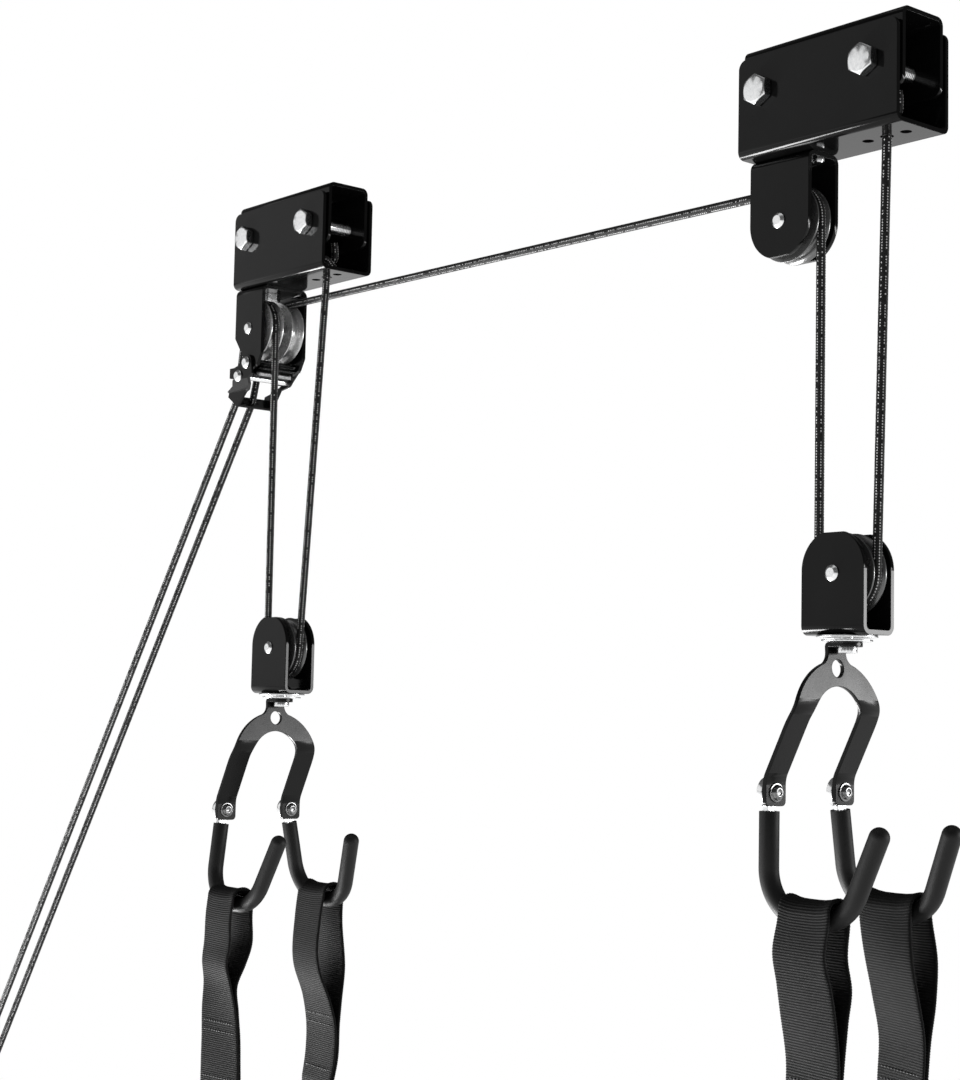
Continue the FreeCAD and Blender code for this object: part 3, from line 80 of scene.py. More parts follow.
class Finish:
    """A node material around one Principled shader."""

    def __init__(self, name, **values):
        self.material = bpy.data.materials.new(name)
        self.material.use_nodes = True
        self.tree = self.material.node_tree
        self.shader = self.tree.nodes["Principled BSDF"]
        self.set(self.shader, **values)

    def feed(self, socket, value):
        """Link a node's output into a socket, or give the socket a plain value."""
        if isinstance(value, bpy.types.NodeSocket):
            self.tree.links.new(value, socket)
        else:
            socket.default_value = value

    def set(self, node, **values):
        for key, value in values.items():
            self.feed(node.inputs[key.replace("_", " ")], value)
        return node

    def add(self, kind, settings=None, **values):
        node = self.tree.nodes.new("ShaderNode" + kind)
        for key, value in (settings or {}).items():
            setattr(node, key, value)
        return self.set(node, **values)

    def math(self, operation, a, b=0.0, c=0.0):
        node = self.add("Math", {"operation": operation})
        for socket, value in zip(node.inputs, (a, b, c)):
            self.feed(socket, value)
        return node.outputs[0]

    def noise(self, scale, detail=2.0, roughness=0.5, stretch=(1, 1, 1)):
        place = self.add("TexCoord").outputs["Object"]
        mapping = self.add("Mapping", Vector=place, Scale=stretch)
        values = {"Scale": scale, "Detail": detail, "Roughness": roughness}
        return self.add("TexNoise", Vector=mapping.outputs[0], **values).outputs["Fac"]

    def ramp(self, value, low, high, from_low=0.3, from_high=0.7):
        node = self.add("MapRange", Value=value)
        for socket, number in zip(node.inputs[1:5], (from_low, from_high, low, high)):
            socket.default_value = number
        return node.outputs[0]

    def mix(self, share, first, second):
        """Blend two colours; a colour mix node keeps its colours in sockets 6 and 7."""
        node = self.add("Mix", {"data_type": "RGBA"})
        for place, value in ((0, share), (6, first), (7, second)):
            self.feed(node.inputs[place], value)
        return node.outputs[2]

    def bump(self, height, distance, strength=1.0, normal=None):
        node = self.add("Bump", Height=height, Distance=distance, Strength=strength)
        if normal is not None:
            self.set(node, Normal=normal)
        self.tree.links.new(node.outputs[0], self.shader.inputs["Normal"])

    def even_flats(self, directions):
        """Shade a flat face that looks along one of these directions of the part as truly flat."""
        geometry = self.add("NewGeometry")
        settings = {"vector_type": "NORMAL", "convert_from": "WORLD", "convert_to": "OBJECT"}
        turned = self.add("VectorTransform", settings, Vector=geometry.outputs["True Normal"])
        closest = 0.0
        for direction in directions:
            node = self.add("VectorMath", {"operation": "DOT_PRODUCT"}, Vector=turned.outputs[0])
            node.inputs[1].default_value = Vector(direction).normalized()
            closest = self.math("MAXIMUM", closest, self.math("ABSOLUTE", node.outputs["Value"]))
        flat = self.math("GREATER_THAN", closest, FLAT_COSINE)
        return self.mix(flat, geometry.outputs["Normal"], geometry.outputs["True Normal"])

    def surface_place(self):
        """Across and along, from the UV map of a lofted piece."""
        split = self.add("SeparateXYZ", Vector=self.add("TexCoord").outputs["UV"])
        return split.outputs[0], split.outputs[1]


def grey(level, warmth=0.0):
    """A grey with a little red added and blue taken away."""
    return (level * (1 + warmth), level, level * (1 - warmth), 1)


# Directions that flat faces look along: those of square parts, and the two slopes of a hanger.
SQUARE = ((1, 0, 0), (0, 1, 0), (0, 0, 1))
HANGER_BENDS = ((37, 0, 2.5), (42, 0, -21.5))
FLAT_COSINE = 0.99996

RING_RATE = 9000.0
YARNS_IN_DIAMOND = 3
GLINT_FLECK_ROWS = 4
WARP_PITCH = 0.9 * MM


def powder_coat(name, flats, level, smooth, rough):
    """Gloss black powder coat: slight orange peel, faint scuffs, dust in the roughness."""
    f = Finish(name, Specular_IOR_Level=level)
    cloud = f.noise(35, 4, 0.6)
    f.set(f.shader, Base_Color=f.mix(cloud, grey(0.002), grey(0.005)))
    f.set(f.shader, Roughness=f.ramp(cloud, smooth, rough))
    peel = f.noise(1500, 2, 0.5)
    scuff = f.noise(240, 6, 0.7, (1, 1, 6))
    f.bump(f.math("ADD", peel, f.math("MULTIPLY", scuff, 0.5)), 0.00002, 0.4, f.even_flats(flats))
    return f.material


def zinc(name, dark, bright):
    """Zinc plate: mottled crystals and fine turning marks."""
    f = Finish(name, Metallic=1.0)
    patch = f.noise(420, 5, 0.65)
    fine = f.noise(2600, 3, 0.6)
    f.set(f.shader, Base_Color=f.mix(f.ramp(patch, 0, 1), grey(dark, -0.012), grey(bright)))
    f.set(f.shader, Roughness=f.ramp(fine, 0.14, 0.3))
    f.bump(f.math("ADD", patch, f.math("MULTIPLY", fine, 0.3)), 0.00004, 0.4)
    return f.material


def sheave_grey(name, axis_of, level):
    """Moulded grey wheel with a polished, faintly ringed groove, turned about Y."""
    f = Finish(name, Metallic=0.7, Specular_IOR_Level=0.6)
    split = f.add("SeparateXYZ", Vector=f.add("TexCoord").outputs["Object"])
    across = f.math("SUBTRACT", split.outputs[0], axis_of.x)
    rise = f.math("SUBTRACT", split.outputs[2], axis_of.z)
    across_squared = f.math("MULTIPLY", across, across)
    rise_squared = f.math("MULTIPLY", rise, rise)
    reach = f.math("SQRT", f.math("ADD", across_squared, rise_squared))
    rings = f.math("SINE", f.math("MULTIPLY", reach, RING_RATE))
    cloud = f.noise(160, 4, 0.6)
    f.set(f.shader, Base_Color=f.mix(cloud, grey(level * 0.75), grey(level * 1.2)))
    f.set(f.shader, Roughness=f.ramp(cloud, 0.18, 0.32))
    f.bump(f.math("ADD", f.math("MULTIPLY", rings, 0.35), cloud), 0.00005, 0.5)
    return f.material


def braid_cord(carriers, cell):
    """Black braided cord: each diamond shows its yarns, and four rows of them carry a pale fleck, partly pale yarn
    and partly a painted highlight for the glints on the braid's crossings.
    """
    f = Finish("black_braided_cord", Specular_IOR_Level=0.25)
    f.set(f.shader, Sheen_Weight=0.04, Sheen_Roughness=0.4, Sheen_Tint=grey(0.8))
    u, v = f.surface_place()
    round_it = f.math("MULTIPLY", u, float(carriers))
    along = f.math("DIVIDE", v, cell)
    first = f.math("ADD", round_it, along)
    second = f.math("SUBTRACT", round_it, along)
    i, j = f.math("FLOOR", first), f.math("FLOOR", second)
    diamond = f.add("CombineXYZ", X=i, Y=j).outputs[0]
    chance = f.add("TexWhiteNoise", {"noise_dimensions": "2D"}, Vector=diamond).outputs[0]
    a = f.math("ABSOLUTE", f.math("SUBTRACT", f.math("FRACT", first), 0.5))
    b = f.math("ABSOLUTE", f.math("SUBTRACT", f.math("FRACT", second), 0.5))
    inside = f.math("MULTIPLY", f.math("LESS_THAN", a, 0.34), f.math("LESS_THAN", b, 0.36))
    # Pale flecks on a row of diamond crowns: partly pale yarn, partly a painted highlight for the glints on the
    # braid's crossings.
    row_number = f.math("FLOORED_MODULO", f.math("ADD", i, j), float(GLINT_FLECK_ROWS))
    glint_fleck_row = f.math("LESS_THAN", row_number, 0.5)
    kept = f.math("GREATER_THAN", chance, 0.18)
    fleck_and_painted_glint = f.math("MULTIPLY", f.math("MULTIPLY", inside, glint_fleck_row), kept)
    shade = f.mix(f.ramp(chance, 0, 1, 0.0, 1.0), grey(0.002), grey(0.008))
    f.set(f.shader, Base_Color=f.mix(fleck_and_painted_glint, shade, f.mix(chance, grey(0.3), grey(0.7))))
    f.set(f.shader, Roughness=f.ramp(chance, 0.32, 0.5, 0.0, 1.0))
    yarns = f.math("SINE", f.math("MULTIPLY", f.math("FRACT", first), 2 * math.pi * YARNS_IN_DIAMOND))
    f.bump(f.math("ADD", yarns, f.noise(5200, 2, 0.6)), 0.00006, 0.6)
    return f.material


def ribbed_webbing(rib):
    """Black woven webbing: cross ribs with fine warp yarns over them; its colour is darker in the grooves and
    lighter on the rib crests, painted shade and light, with a random fluffy tone.
    """
    f = Finish("black_ribbed_webbing", Specular_IOR_Level=0.16)
    f.set(f.shader, Sheen_Weight=0.02, Sheen_Roughness=0.5, Sheen_Tint=grey(0.7))
    u, v = f.surface_place()
    crest = f.math("SINE", f.math("MULTIPLY", v, 2 * math.pi / rib))
    warp = f.math("SINE", f.math("MULTIPLY", u, 2 * math.pi / WARP_PITCH))
    woven = f.math("MULTIPLY", warp, crest)
    fluff = f.noise(1900, 4, 0.7)
    # Painted shade and light: the colour follows the ribs, dark in the grooves and pale on the crests; the fluff
    # is a random tone.
    painted_rib_shade = f.math("ADD", f.math("MULTIPLY", woven, 0.1), f.math("MULTIPLY", crest, 0.24))
    shade = f.math("ADD", painted_rib_shade, fluff)
    f.set(f.shader, Base_Color=f.mix(f.ramp(shade, 0, 1, 0.25, 0.85), grey(0.0005), grey(0.009)))
    f.set(f.shader, Roughness=f.ramp(fluff, 0.6, 0.85))
    f.bump(f.math("ADD", f.math("MULTIPLY", woven, 0.6), fluff), 0.00012, 0.7)
    return f.material


def dipped_vinyl():
    """Matte dipped coating with soft ripples from the dip."""
    f = Finish("matte_dipped_vinyl", Specular_IOR_Level=0.3)
    cloud = f.noise(70, 3, 0.5, (1, 1, 0.4))
    grain = f.noise(2200, 3, 0.6)
    f.set(f.shader, Base_Color=f.mix(cloud, grey(0.004), grey(0.009)))
    f.set(f.shader, Roughness=f.ramp(cloud, 0.46, 0.6))
    f.bump(f.math("ADD", f.math("MULTIPLY", cloud, 3.0), f.math("MULTIPLY", grain, 0.3)), 0.0002, 0.5)
    return f.material


def stitching():
    """Black sewing thread with a fine fuzz."""
    f = Finish("black_sewing_thread", Sheen_Weight=0.3, Specular_IOR_Level=0.5)
    f.set(f.shader, Base_Color=f.mix(f.noise(3000), grey(0.012), grey(0.05)), Roughness=0.5)
    f.bump(f.noise(7000, 2), 0.00004, 0.5)
    return f.material


ROPE_RADIUS = 2.75 * MM
CARRIERS = 12
BRAID_CELL = 1.7 * MM
RIB = 1.6 * MM

BLACK = powder_coat("gloss_black_powder_coat", SQUARE, 0.15, 0.09, 0.16)
HANGER_BLACK = powder_coat("hanger_powder_coat", SQUARE + HANGER_BENDS, 0.18, 0.19, 0.27)
ZINC = zinc("bright_zinc", 0.8, 0.96)
DULL_ZINC = zinc("dull_zinc", 0.14, 0.3)
DARK_STEEL = zinc("dark_steel", 0.02, 0.05)
CORD = braid_cord(CARRIERS, BRAID_CELL)
WEBBING = ribbed_webbing(RIB)
VINYL = dipped_vinyl()
THREAD = stitching()


def dress(obj, material):
    """Give an object one material in place of those it had."""
    obj.data.materials.clear()
    obj.data.materials.append(material)


# --- Meshes ---------------------------------------------------------------------


def placed(mesh, material):
    """A smooth-shaded object in the scene from a finished mesh, dressed in one material."""
    mesh.polygons.foreach_set("use_smooth", np.ones(len(mesh.polygons), bool))
    mesh.update()
    obj = bpy.data.objects.new(mesh.name, mesh)
    bpy.context.scene.collection.objects.link(obj)
    dress(obj, material)
    return obj


def lofted(name, rings, u, v, material):
    """A closed skin through rings of points, capped at both ends, with u and v in its UV map."""
    count, around = rings.shape[:2]
    index = np.arange(count * around).reshape(count, around)
    after = np.roll(index, -1, axis=1)
    quads = np.stack([index[:-1], after[:-1], after[1:], index[1:]], axis=-1).reshape(-1, 4)
    tip, tail = count * around, count * around + 1
    vertices = np.concatenate([rings.reshape(-1, 3), [rings[0].mean(0)], [rings[-1].mean(0)]])
    caps = [(tip, int(after[0, k]), int(index[0, k])) for k in range(around)]
    caps += [(tail, int(index[-1, k]), int(after[-1, k])) for k in range(around)]
    mesh = bpy.data.meshes.new(name)
    mesh.from_pydata(vertices.tolist(), [], quads.tolist() + caps)
    u_after = np.append(u[1:], u[0] + (u[-1] - u[-2]) + u[-1] - u[0])
    corners = np.zeros((count - 1, around, 4, 2))
    corners[..., 0, 0] = corners[..., 3, 0] = u
    corners[..., 1, 0] = corners[..., 2, 0] = u_after
    corners[..., 0, 1] = corners[..., 1, 1] = v[:-1, None]
    corners[..., 2, 1] = corners[..., 3, 1] = v[1:, None]
    cap_uv = np.zeros((len(caps) * 3, 2))
    layer = mesh.uv_layers.new(name="surface")
    layer.data.foreach_set("uv", np.concatenate([corners.reshape(-1, 2), cap_uv]).ravel())
    return placed(mesh, material)


def unit(vectors):
    return vectors / np.linalg.norm(vectors, axis=-1, keepdims=True)


def between(at, knots, rows):
    """Straight-line interpolation through rows of three coordinates."""
    return np.stack([np.interp(at, knots, rows[:, k]) for k in range(3)], -1)


def travelled(points):
    """The distance along a line at each of its points."""
    steps = np.linalg.norm(np.diff(points, axis=0), axis=1)
    return np.concatenate([[0], np.cumsum(steps)])


def hermite(knots, values, at):
    """Smooth interpolation through rows of values."""
    knots, values = np.array(knots, float), np.array(values, float)
    slopes = np.gradient(values, knots, axis=0)
    at = np.clip(np.asarray(at, float), knots[0], knots[-1])
    i = np.clip(np.searchsorted(knots, at, side="right") - 1, 0, len(knots) - 2)
    gap = (knots[i + 1] - knots[i])[:, None]
    t = ((at - knots[i]) / gap[:, 0])[:, None]
    first = (2 * t**3 - 3 * t**2 + 1) * values[i] + (t**3 - 2 * t**2 + t) * gap * slopes[i]
    last = (3 * t**2 - 2 * t**3) * values[i + 1] + (t**3 - t**2) * gap * slopes[i + 1]
    return first + last


# --- Ropes ----------------------------------------------------------------------

RING = 48
ROPE_STEP = BRAID_CELL / 2
BRAID_RELIEF = 0.42 * MM
BRAID_SWELL = 0.06 * MM
BRAID_MEAN = 0.75
WRAP = 21.8 * MM
KNOT_SIZE = 5.2 * MM
KNOT_RISE = 11 * MM
KNOT_TAIL = 13 * MM
KNOT_OPENING = 0.35


def line(a, b):
    """Evenly spaced points along a straight run of rope."""
    count = max(2, round((Vector(b) - Vector(a)).length / ROPE_STEP))
    return np.linspace(a, b, count + 1)


def wound(axle, y, first, last):
    """Round a sheave from one angle to another, seen from the front."""
    count = max(2, round(abs(math.radians(last - first)) * WRAP / ROPE_STEP))
    turn = np.radians(np.linspace(first, last, count + 1))
    x, z = axle.x + WRAP * np.cos(turn), axle.z + WRAP * np.sin(turn)
    return np.stack([x, np.full_like(turn, y), z], -1)


def overhand(middle, size, tail):
    """An overhand knot above a hole, entered from above and left downward."""
    turn = np.linspace(KNOT_OPENING, 2 * math.pi - KNOT_OPENING, 120)
    reach = 1.0 + 0.42 * np.cos(3 * turn)
    x = size * reach * np.cos(2 * turn)
    y = size * reach * np.sin(2 * turn)
    z = size * 0.55 * np.sin(3 * turn)
    knot = np.stack([x, y, z], -1) + np.array(middle)
    tip = knot[0] + [0.4 * size, -0.5 * size, tail]
    neck = knot[0] + [0.3 * size, -0.2 * size, tail * 0.45]
    return np.concatenate([[tip, neck], knot])


def resampled(points):
    """The same line in even steps."""
    s = travelled(points)
    at = np.linspace(0, s[-1], max(2, round(s[-1] / ROPE_STEP)) + 1)
    return between(at, s, points)


def eased(points, window=11):
    """Round off kinks without moving the ends."""
    pad = window // 2
    wide = np.pad(points, ((pad, pad), (0, 0)), mode="reflect", reflect_type="odd")
    kernel = np.hanning(window + 2)[1:-1]
    kernel /= kernel.sum()
    return np.stack([np.convolve(wide[:, k], kernel, mode="valid") for k in range(3)], -1)


def carried_frames(points):
    """Two unit directions across the line, carried along it without twist."""
    along = unit(np.gradient(points, axis=0))
    across = np.empty_like(along)
    current = np.cross(along[0], (0.31, 0.94, 0.12))
    for i, tangent in enumerate(along):
        current = current - tangent * current.dot(tangent)
        current /= np.linalg.norm(current)
        across[i] = current
    return across, np.cross(along, across)


class Rope:
    """One braided rope along joined runs, cut into pieces at the ends of named runs."""

    def __init__(self, runs):
        points, self.cuts = [], {}
        total = 0
        for name, run in runs:
            fresh = run if not points else run[1:]
            points.append(fresh)
            self.cuts[name] = (max(total - 1, 0), total + len(fresh) - 1)
            total += len(fresh)
        line_points = eased(np.concatenate(points))
        across, beside = carried_frames(line_points)
        s = travelled(line_points)
        turn = np.arange(RING) / RING
        first = CARRIERS * turn[None] + s[:, None] / BRAID_CELL
        second = CARRIERS * turn[None] - s[:, None] / BRAID_CELL
        a, b = 2 * (first % 1) - 1, 2 * (second % 1) - 1
        over = (np.floor(first) + np.floor(second)) % 2 == 0
        crown = np.where(over, 1 - 0.7 * a**2 - 0.3 * b**2, 1 - 0.7 * b**2 - 0.3 * a**2)
        radius = (ROPE_RADIUS + BRAID_SWELL + BRAID_RELIEF * (crown - BRAID_MEAN))[..., None]
        angle = (2 * math.pi * turn)[None, :, None]
        self.rings = line_points[:, None] + radius * (
            across[:, None] * np.cos(angle) + beside[:, None] * np.sin(angle)
        )
        self.turn, self.s, self.points = turn, s, line_points

    def piece(self, name, first, last=None, tip=False):
        """The rope from one named run to another, with a rounded end where it is a tip."""
        start, end = self.cuts[first][0], self.cuts[last or first][1]
        rings = self.rings[start:end + 1].copy()
        if tip:
            middle = self.points[end]
            for back, share in ((0, 0.55), (1, 0.8), (2, 0.93)):
                rings[-1 - back] = middle + (rings[-1 - back] - middle) * share
        return lofted(name, rings, self.turn, self.s[start:end + 1], CORD)


PULL = Vector(joint("front_pull")["axis"]).normalized()
LOCK_PIN = Vector(joint("lock_swing")["pos_m"])
FAIRLEAD = LOCK_PIN + Vector((-36.9, 0, -26)) * MM
PULL_HALF_GAP = 7.6 * MM
LOCK_ENTRY = 167
HANDLE = 1228 * MM
ROPE_END = 1250 * MM
ANCHOR_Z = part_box("right_outer_channel")[0].z


def anchored(side, below):
    """The stopper knot and the rope through its hole, down to a point."""
    spot = centre(f"{side}_anchor_knot")
    knot = resampled(overhand((spot.x, 0, ANCHOR_Z + KNOT_RISE), KNOT_SIZE, KNOT_TAIL))
    mouth = (spot.x, 0, ANCHOR_Z)
    drop = resampled(np.array([knot[-1], (spot.x, 0, ANCHOR_Z + 4 * MM), mouth]))
    return [("knot", knot), ("hole", drop), ("fixed_fall", line(mouth, below))]


def pulled(y):
    """From the fairlead outward and down to the knotted end."""
    start = FAIRLEAD + Vector((0, y, 0))
    handle, end = start + PULL * HANDLE, start + PULL * ROPE_END
    across = Vector((-PULL.z, 0, PULL.x))
    turn = np.linspace(0, 2 * math.pi, 60)
    knot_line = [
        handle + PULL * (3 * MM + 6 * MM * t / (2 * math.pi) + 2.2 * MM * math.sin(t))
        + (across * (1 - math.cos(t)) + Vector((0, 1, 0)) * math.sin(t) * 1.15) * 3.3 * MM
        for t in turn
    ]
    path = [handle] + knot_line + [end - PULL * 6 * MM, end]
    return [("pull", line(start, handle)), ("end", resampled(np.array([tuple(p) for p in path])))]


def build_rope(side):
    """One side's whole rope, from its stopper knot to its pulled end."""
    low = centre(f"{side}_lower_sheave")
    fixed, running = (low.x + WRAP, 0, low.z), (low.x - WRAP, 0, low.z)
    runs = anchored(side, fixed) + [("under", wound(low, 0, 0, -180))]
    if side == "right":
        top, over = centre("right_upper_sheave"), centre("left_rear_sheave")
        runs.append(("running_fall", line(running, (top.x + WRAP, 0, top.z))))
        runs.append(("top", wound(top, 0, 0, 90)))
        runs.append(("cross", line((top.x, 0, top.z + WRAP), (over.x, over.y, over.z + WRAP))))
        runs.append(("over", wound(over, over.y, 90, LOCK_ENTRY)))
    else:
        over = centre("left_front_sheave")
        runs.append(("running_fall", line(running, (over.x + WRAP, over.y, over.z))))
        runs.append(("over", wound(over, over.y, 0, LOCK_ENTRY)))
    y = math.copysign(PULL_HALF_GAP, over.y)
    runs.append(("lock", line(runs[-1][1][-1], FAIRLEAD + Vector((0, y, 0)))))
    return Rope(runs + pulled(y))


def lengthened(piece):
    """A fall of rope between two bodies at two heights, with its placement baked into its mesh."""
    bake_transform(piece)


for side, way in (("right", "rear"), ("left", "front")):
    rope = build_rope(side)
    block = f"{side}_block"
    held = rope.piece(f"{side}_stopper_knot", "knot", "hole")
    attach(held, "ceiling_brackets")
    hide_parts(f"{side}_anchor_knot")
    fixed = rope.piece(f"{side}_fixed_fall", "fixed_fall")
    lengthened(fixed)
    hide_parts(f"{side}_rope_falls")
    under = rope.piece(f"{side}_rope_under_sheave", "under")
    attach(under, block)
    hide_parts(f"{side}_lower_rope_wrap")
    running = rope.piece(f"{side}_running_fall", "running_fall")
    lengthened(running)
    over = rope.piece(f"{side}_rope_over_sheaves", "top" if side == "right" else "over", "over")
    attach(over, "ceiling_brackets")
    locked = rope.piece(f"{side}_rope_through_lock", "lock")
    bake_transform(locked)
    pull = rope.piece(f"{side}_pull_rope", "pull")
    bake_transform(pull)
    end = rope.piece(f"{side}_pull_rope_knot", "end", tip=True)
    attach(end, f"{way}_pull_rope")
    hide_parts(f"{way}_pull_rope_end")
    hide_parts(f"{way}_pull_rope")
    if side == "right":
        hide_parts("upper_ropes")
        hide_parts("lock_ropes")

# --- Webbing --------------------------------------------------------------------

STRAP_HALF = 1.05 * MM
STRAP_WIDTH = 48 * MM
RIB_DEPTH = 0.34 * MM
ROW_STEP = RIB / 4
LOOP_TOP = 12.4 * MM
SEATING = 0.35
SEATING_FADE = 26 * MM
HOOK_FLAT_HALF = 6 * MM
HOOK_INSIDE = 22 * MM
TAIL_DROP = 142 * MM
LOOP_END = 150 * MM
STRAP_TOP = -2 * MM
LOOP_DROP = 95 * MM
STITCH_ROWS = (90 * MM, 97 * MM, 132 * MM)
STITCH_PITCH = 3.4 * MM
STITCH_HALF = 1.25 * MM
STITCH_RADIUS = 0.42 * MM
STITCH_MARGIN = 5 * MM
BEAD_STEPS, BEAD_AROUND = 5, 6

# Half of a strap's section, from its middle out: place across, and thickness at that place.
HALF_ACROSS = np.array([0.15, 0.45, 0.7, 0.86, 0.94, 0.985, 1])
HALF_EDGE = np.array([1, 1, 1, 1.1, 1.05, 0.8, 0.35])
ACROSS = np.concatenate([-HALF_ACROSS[::-1], HALF_ACROSS])
EDGE = np.concatenate([HALF_EDGE[::-1], HALF_EDGE])

# How each strap hangs: drop below its hook, then the offset of its middle along X and Y,
# its twist in degrees, the gap between its two layers, and its width, in millimetres.
HANG = {
    ("right", "front"): [
        (-17, 0, 0, -4, 15, 41), (0, 0.3, 0, -6, 16, 41), (20, -2.5, 0, -8, 17, 44),
        (37, 0.5, 0, -8, 15, 46), (54, 1.5, -1, -9, 9, 48), (82, 2.5, -1, -12, 3, 48),
        (98, 2, -1, -12, 2.2, 48), (150, 1, 0, -9, 2.2, 48), (220, 0, 0, -4, 2.2, 48),
        (300, 0, 0, 0, 2.2, 48),
    ],
    ("right", "rear"): [
        (-17, 0, 0, -3, 15, 41), (0, 0, 0, -5, 17, 41), (27, 4.5, 0, -13, 18, 44),
        (47, 6.5, 0, -16, 12, 46), (70, 7.5, 0, -19, 4, 48),
        (98, 6, 0, -19, 2.2, 48), (150, 4, 0, -13, 2.2, 48), (220, 1, 0, -5, 2.2, 48),
        (300, 0, 0, 0, 2.2, 48),
    ],
    ("left", "front"): [
        (-17, -3, -1, -4, 15, 41), (8, -7.5, -1, -7, 18, 42), (31, -8, -1, -8, 18, 45),
        (45, -9.5, -3, -10, 15, 46), (60, -10, -5, -8, 5, 47), (80, -9, -5, -2, 2.2, 48),
        (100, -8, -4.5, 1, 2.2, 48), (150, -7, -4, 3, 2.2, 48), (220, -3, -1, 2, 2.2, 48),
        (300, 0, 0, 0, 2.2, 48),
    ],
    ("left", "rear"): [
        (-17, -3, 0, -4, 15, 41), (14, -7, 0, -9, 19, 43), (54, -5, 0, -10, 22, 46),
        (78, 0, 0, -9, 10, 47), (95, 3, -1, -8, 3.5, 48), (119, 2, 0, -8, 2.2, 48),
        (150, -4, 0, -9, 2.2, 48), (220, -2, 0, -3, 2.2, 48), (300, 0, 0, 0, 2.2, 48),
    ],
}


def hook_bottom(side, where):
    """The lowest point of a hook's centre line, under the middle of its strap."""
    low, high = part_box(f"{side}_{where}_strap_loop")
    return Vector(((low.x + high.x) / 2, (low.y + high.y) / 2, low.z + LOOP_DROP))


def hanging(side, where, drops):
    """Middle, direction across, direction between the layers, gap and width at each drop."""
    rows = np.array(HANG[side, where], float)
    dx, dy, twist, gap, width = hermite(rows[:, 0], rows[:, 1:], np.asarray(drops) / MM).T
    base = hook_bottom(side, where)
    turn = np.radians(twist)
    middle = np.stack([base.x + dx * MM, base.y + dy * MM, base.z - np.asarray(drops)], -1)
    across = np.stack([np.cos(turn), np.sin(turn), np.zeros_like(turn)], -1)
    apart = np.stack([-np.sin(turn), np.cos(turn), np.zeros_like(turn)], -1)
    return middle, across, apart, gap * MM, width * MM


def saddle(x):
    """How far the inside of a hook rises at a distance from the middle of its bottom."""
    beyond = np.maximum(np.abs(x) - HOOK_FLAT_HALF, 0)
    return HOOK_INSIDE - np.sqrt(np.maximum(HOOK_INSIDE**2 - beyond**2, (4 * MM) ** 2))


def webbing(name, points, across, width, seed, seated=None):
    """Ribbed webbing along a line, with a rounded selvedge; where seated, its edges climb the hook."""
    s = travelled(points)
    at = np.append(np.arange(s[0], s[-1], ROW_STEP), s[-1])
    line_points = between(at, s, points)
    across = unit(between(at, s, across))
    width = np.interp(at, s, width)
    along = unit(np.gradient(line_points, axis=0))
    out = unit(np.cross(along, across))
    rib = 0.5 + 0.5 * np.cos(2 * math.pi * at / RIB)
    wave = np.sin(at * 71 + seed) * 0.35 * MM + np.sin(at * 173 + 2.1 * seed) * 0.15 * MM
    half = (width / 2 + wave * 0.6 + rib * 0.12 * MM)[:, None, None]
    thick = (STRAP_HALF + RIB_DEPTH * (rib - 0.5))[:, None, None]
    share = np.concatenate([ACROSS, ACROSS[::-1]])[None, :, None]
    edge = np.concatenate([EDGE, -EDGE[::-1]])[None, :, None]
    cup = (0.5 * MM * np.sin(at * 45 + seed))[:, None, None] * (share**2 - 0.4)
    rings = line_points[:, None] + across[:, None] * half * share + out[:, None] * (thick * edge + cup)
    if seated is not None:
        rings[..., 2] += np.interp(at, s, seated)[:, None] * SEATING * saddle((half * share)[..., 0])
    u = np.concatenate([ACROSS, 2 - ACROSS[::-1]]) * STRAP_WIDTH / 2
    return lofted(name, rings, u, at, WEBBING)


def loop(side, where, seed):
    """Up one side, over the hook and down the other, the two layers sewn together below."""
    standing = -OUTWARD[where]
    down = np.arange(STRAP_TOP, LOOP_END, 1 * MM)
    middle, across, apart, gap, width = hanging(side, where, down)
    joined = np.clip((LOOP_END - down) / (LOOP_END - TAIL_DROP), 0, 1)
    offset = apart * (standing * gap / 2 * joined)[:, None]
    first = middle + offset
    tail = down < TAIL_DROP
    second = (middle - apart * (standing * gap / 2)[:, None])[tail]
    top_middle, top_across, top_apart, top_gap, top_width = hanging(side, where, [STRAP_TOP])
    radius = top_gap[0] / 2
    rise = LOOP_TOP - STRAP_HALF + STRAP_TOP - radius
    turn = np.linspace(0, math.pi, 24)[1:-1]
    fold = top_middle[0] + np.array([0, 0, 1]) * (rise + radius * np.sin(turn))[:, None]
    fold = fold + top_apart[0] * (standing * radius * np.cos(turn))[:, None]
    points = np.concatenate([first[::-1], fold, second])
    count = len(fold)
    across_all = np.concatenate([across[::-1], np.repeat(top_across, count, 0), across[tail]])
    width_all = np.concatenate([width[::-1], np.repeat(top_width, count), width[tail]])
    fading = np.clip(1 - (down - STRAP_TOP) / SEATING_FADE, 0, 1) ** 1.5
    seated = np.concatenate([fading[::-1], np.ones(count), fading[tail]])
    return webbing(f"{side}_{where}_strap", points, across_all, width_all, seed, seated)


def bead(start, end, out):
    """The rings of one stitch: a short thread that dips into the cloth at both ends."""
    side_way = out.cross((end - start).normalized())
    rings = []
    for t in np.linspace(0, 1, BEAD_STEPS):
        rise = math.sin(math.pi * t)
        middle = start.lerp(end, t) + out * STITCH_RADIUS * (1.1 * rise - 0.5)
        size = STITCH_RADIUS * (0.55 + 0.45 * rise)
        angles = [2 * math.pi * j / BEAD_AROUND for j in range(BEAD_AROUND)]
        rings.append([middle + (out * math.cos(a) + side_way * math.sin(a)) * size for a in angles])
    return rings


def bead_faces(base):
    """The faces of one stitch whose first vertex is numbered base."""
    last = base + (BEAD_STEPS - 1) * BEAD_AROUND
    faces = []
    for ring in range(base, last, BEAD_AROUND):
        for j in range(BEAD_AROUND):
            a, b = ring + j, ring + (j + 1) % BEAD_AROUND
            faces.append((a, b, b + BEAD_AROUND, a + BEAD_AROUND))
    faces.append(tuple(range(base, base + BEAD_AROUND))[::-1])
    faces.append(tuple(range(last, last + BEAD_AROUND)))
    return faces


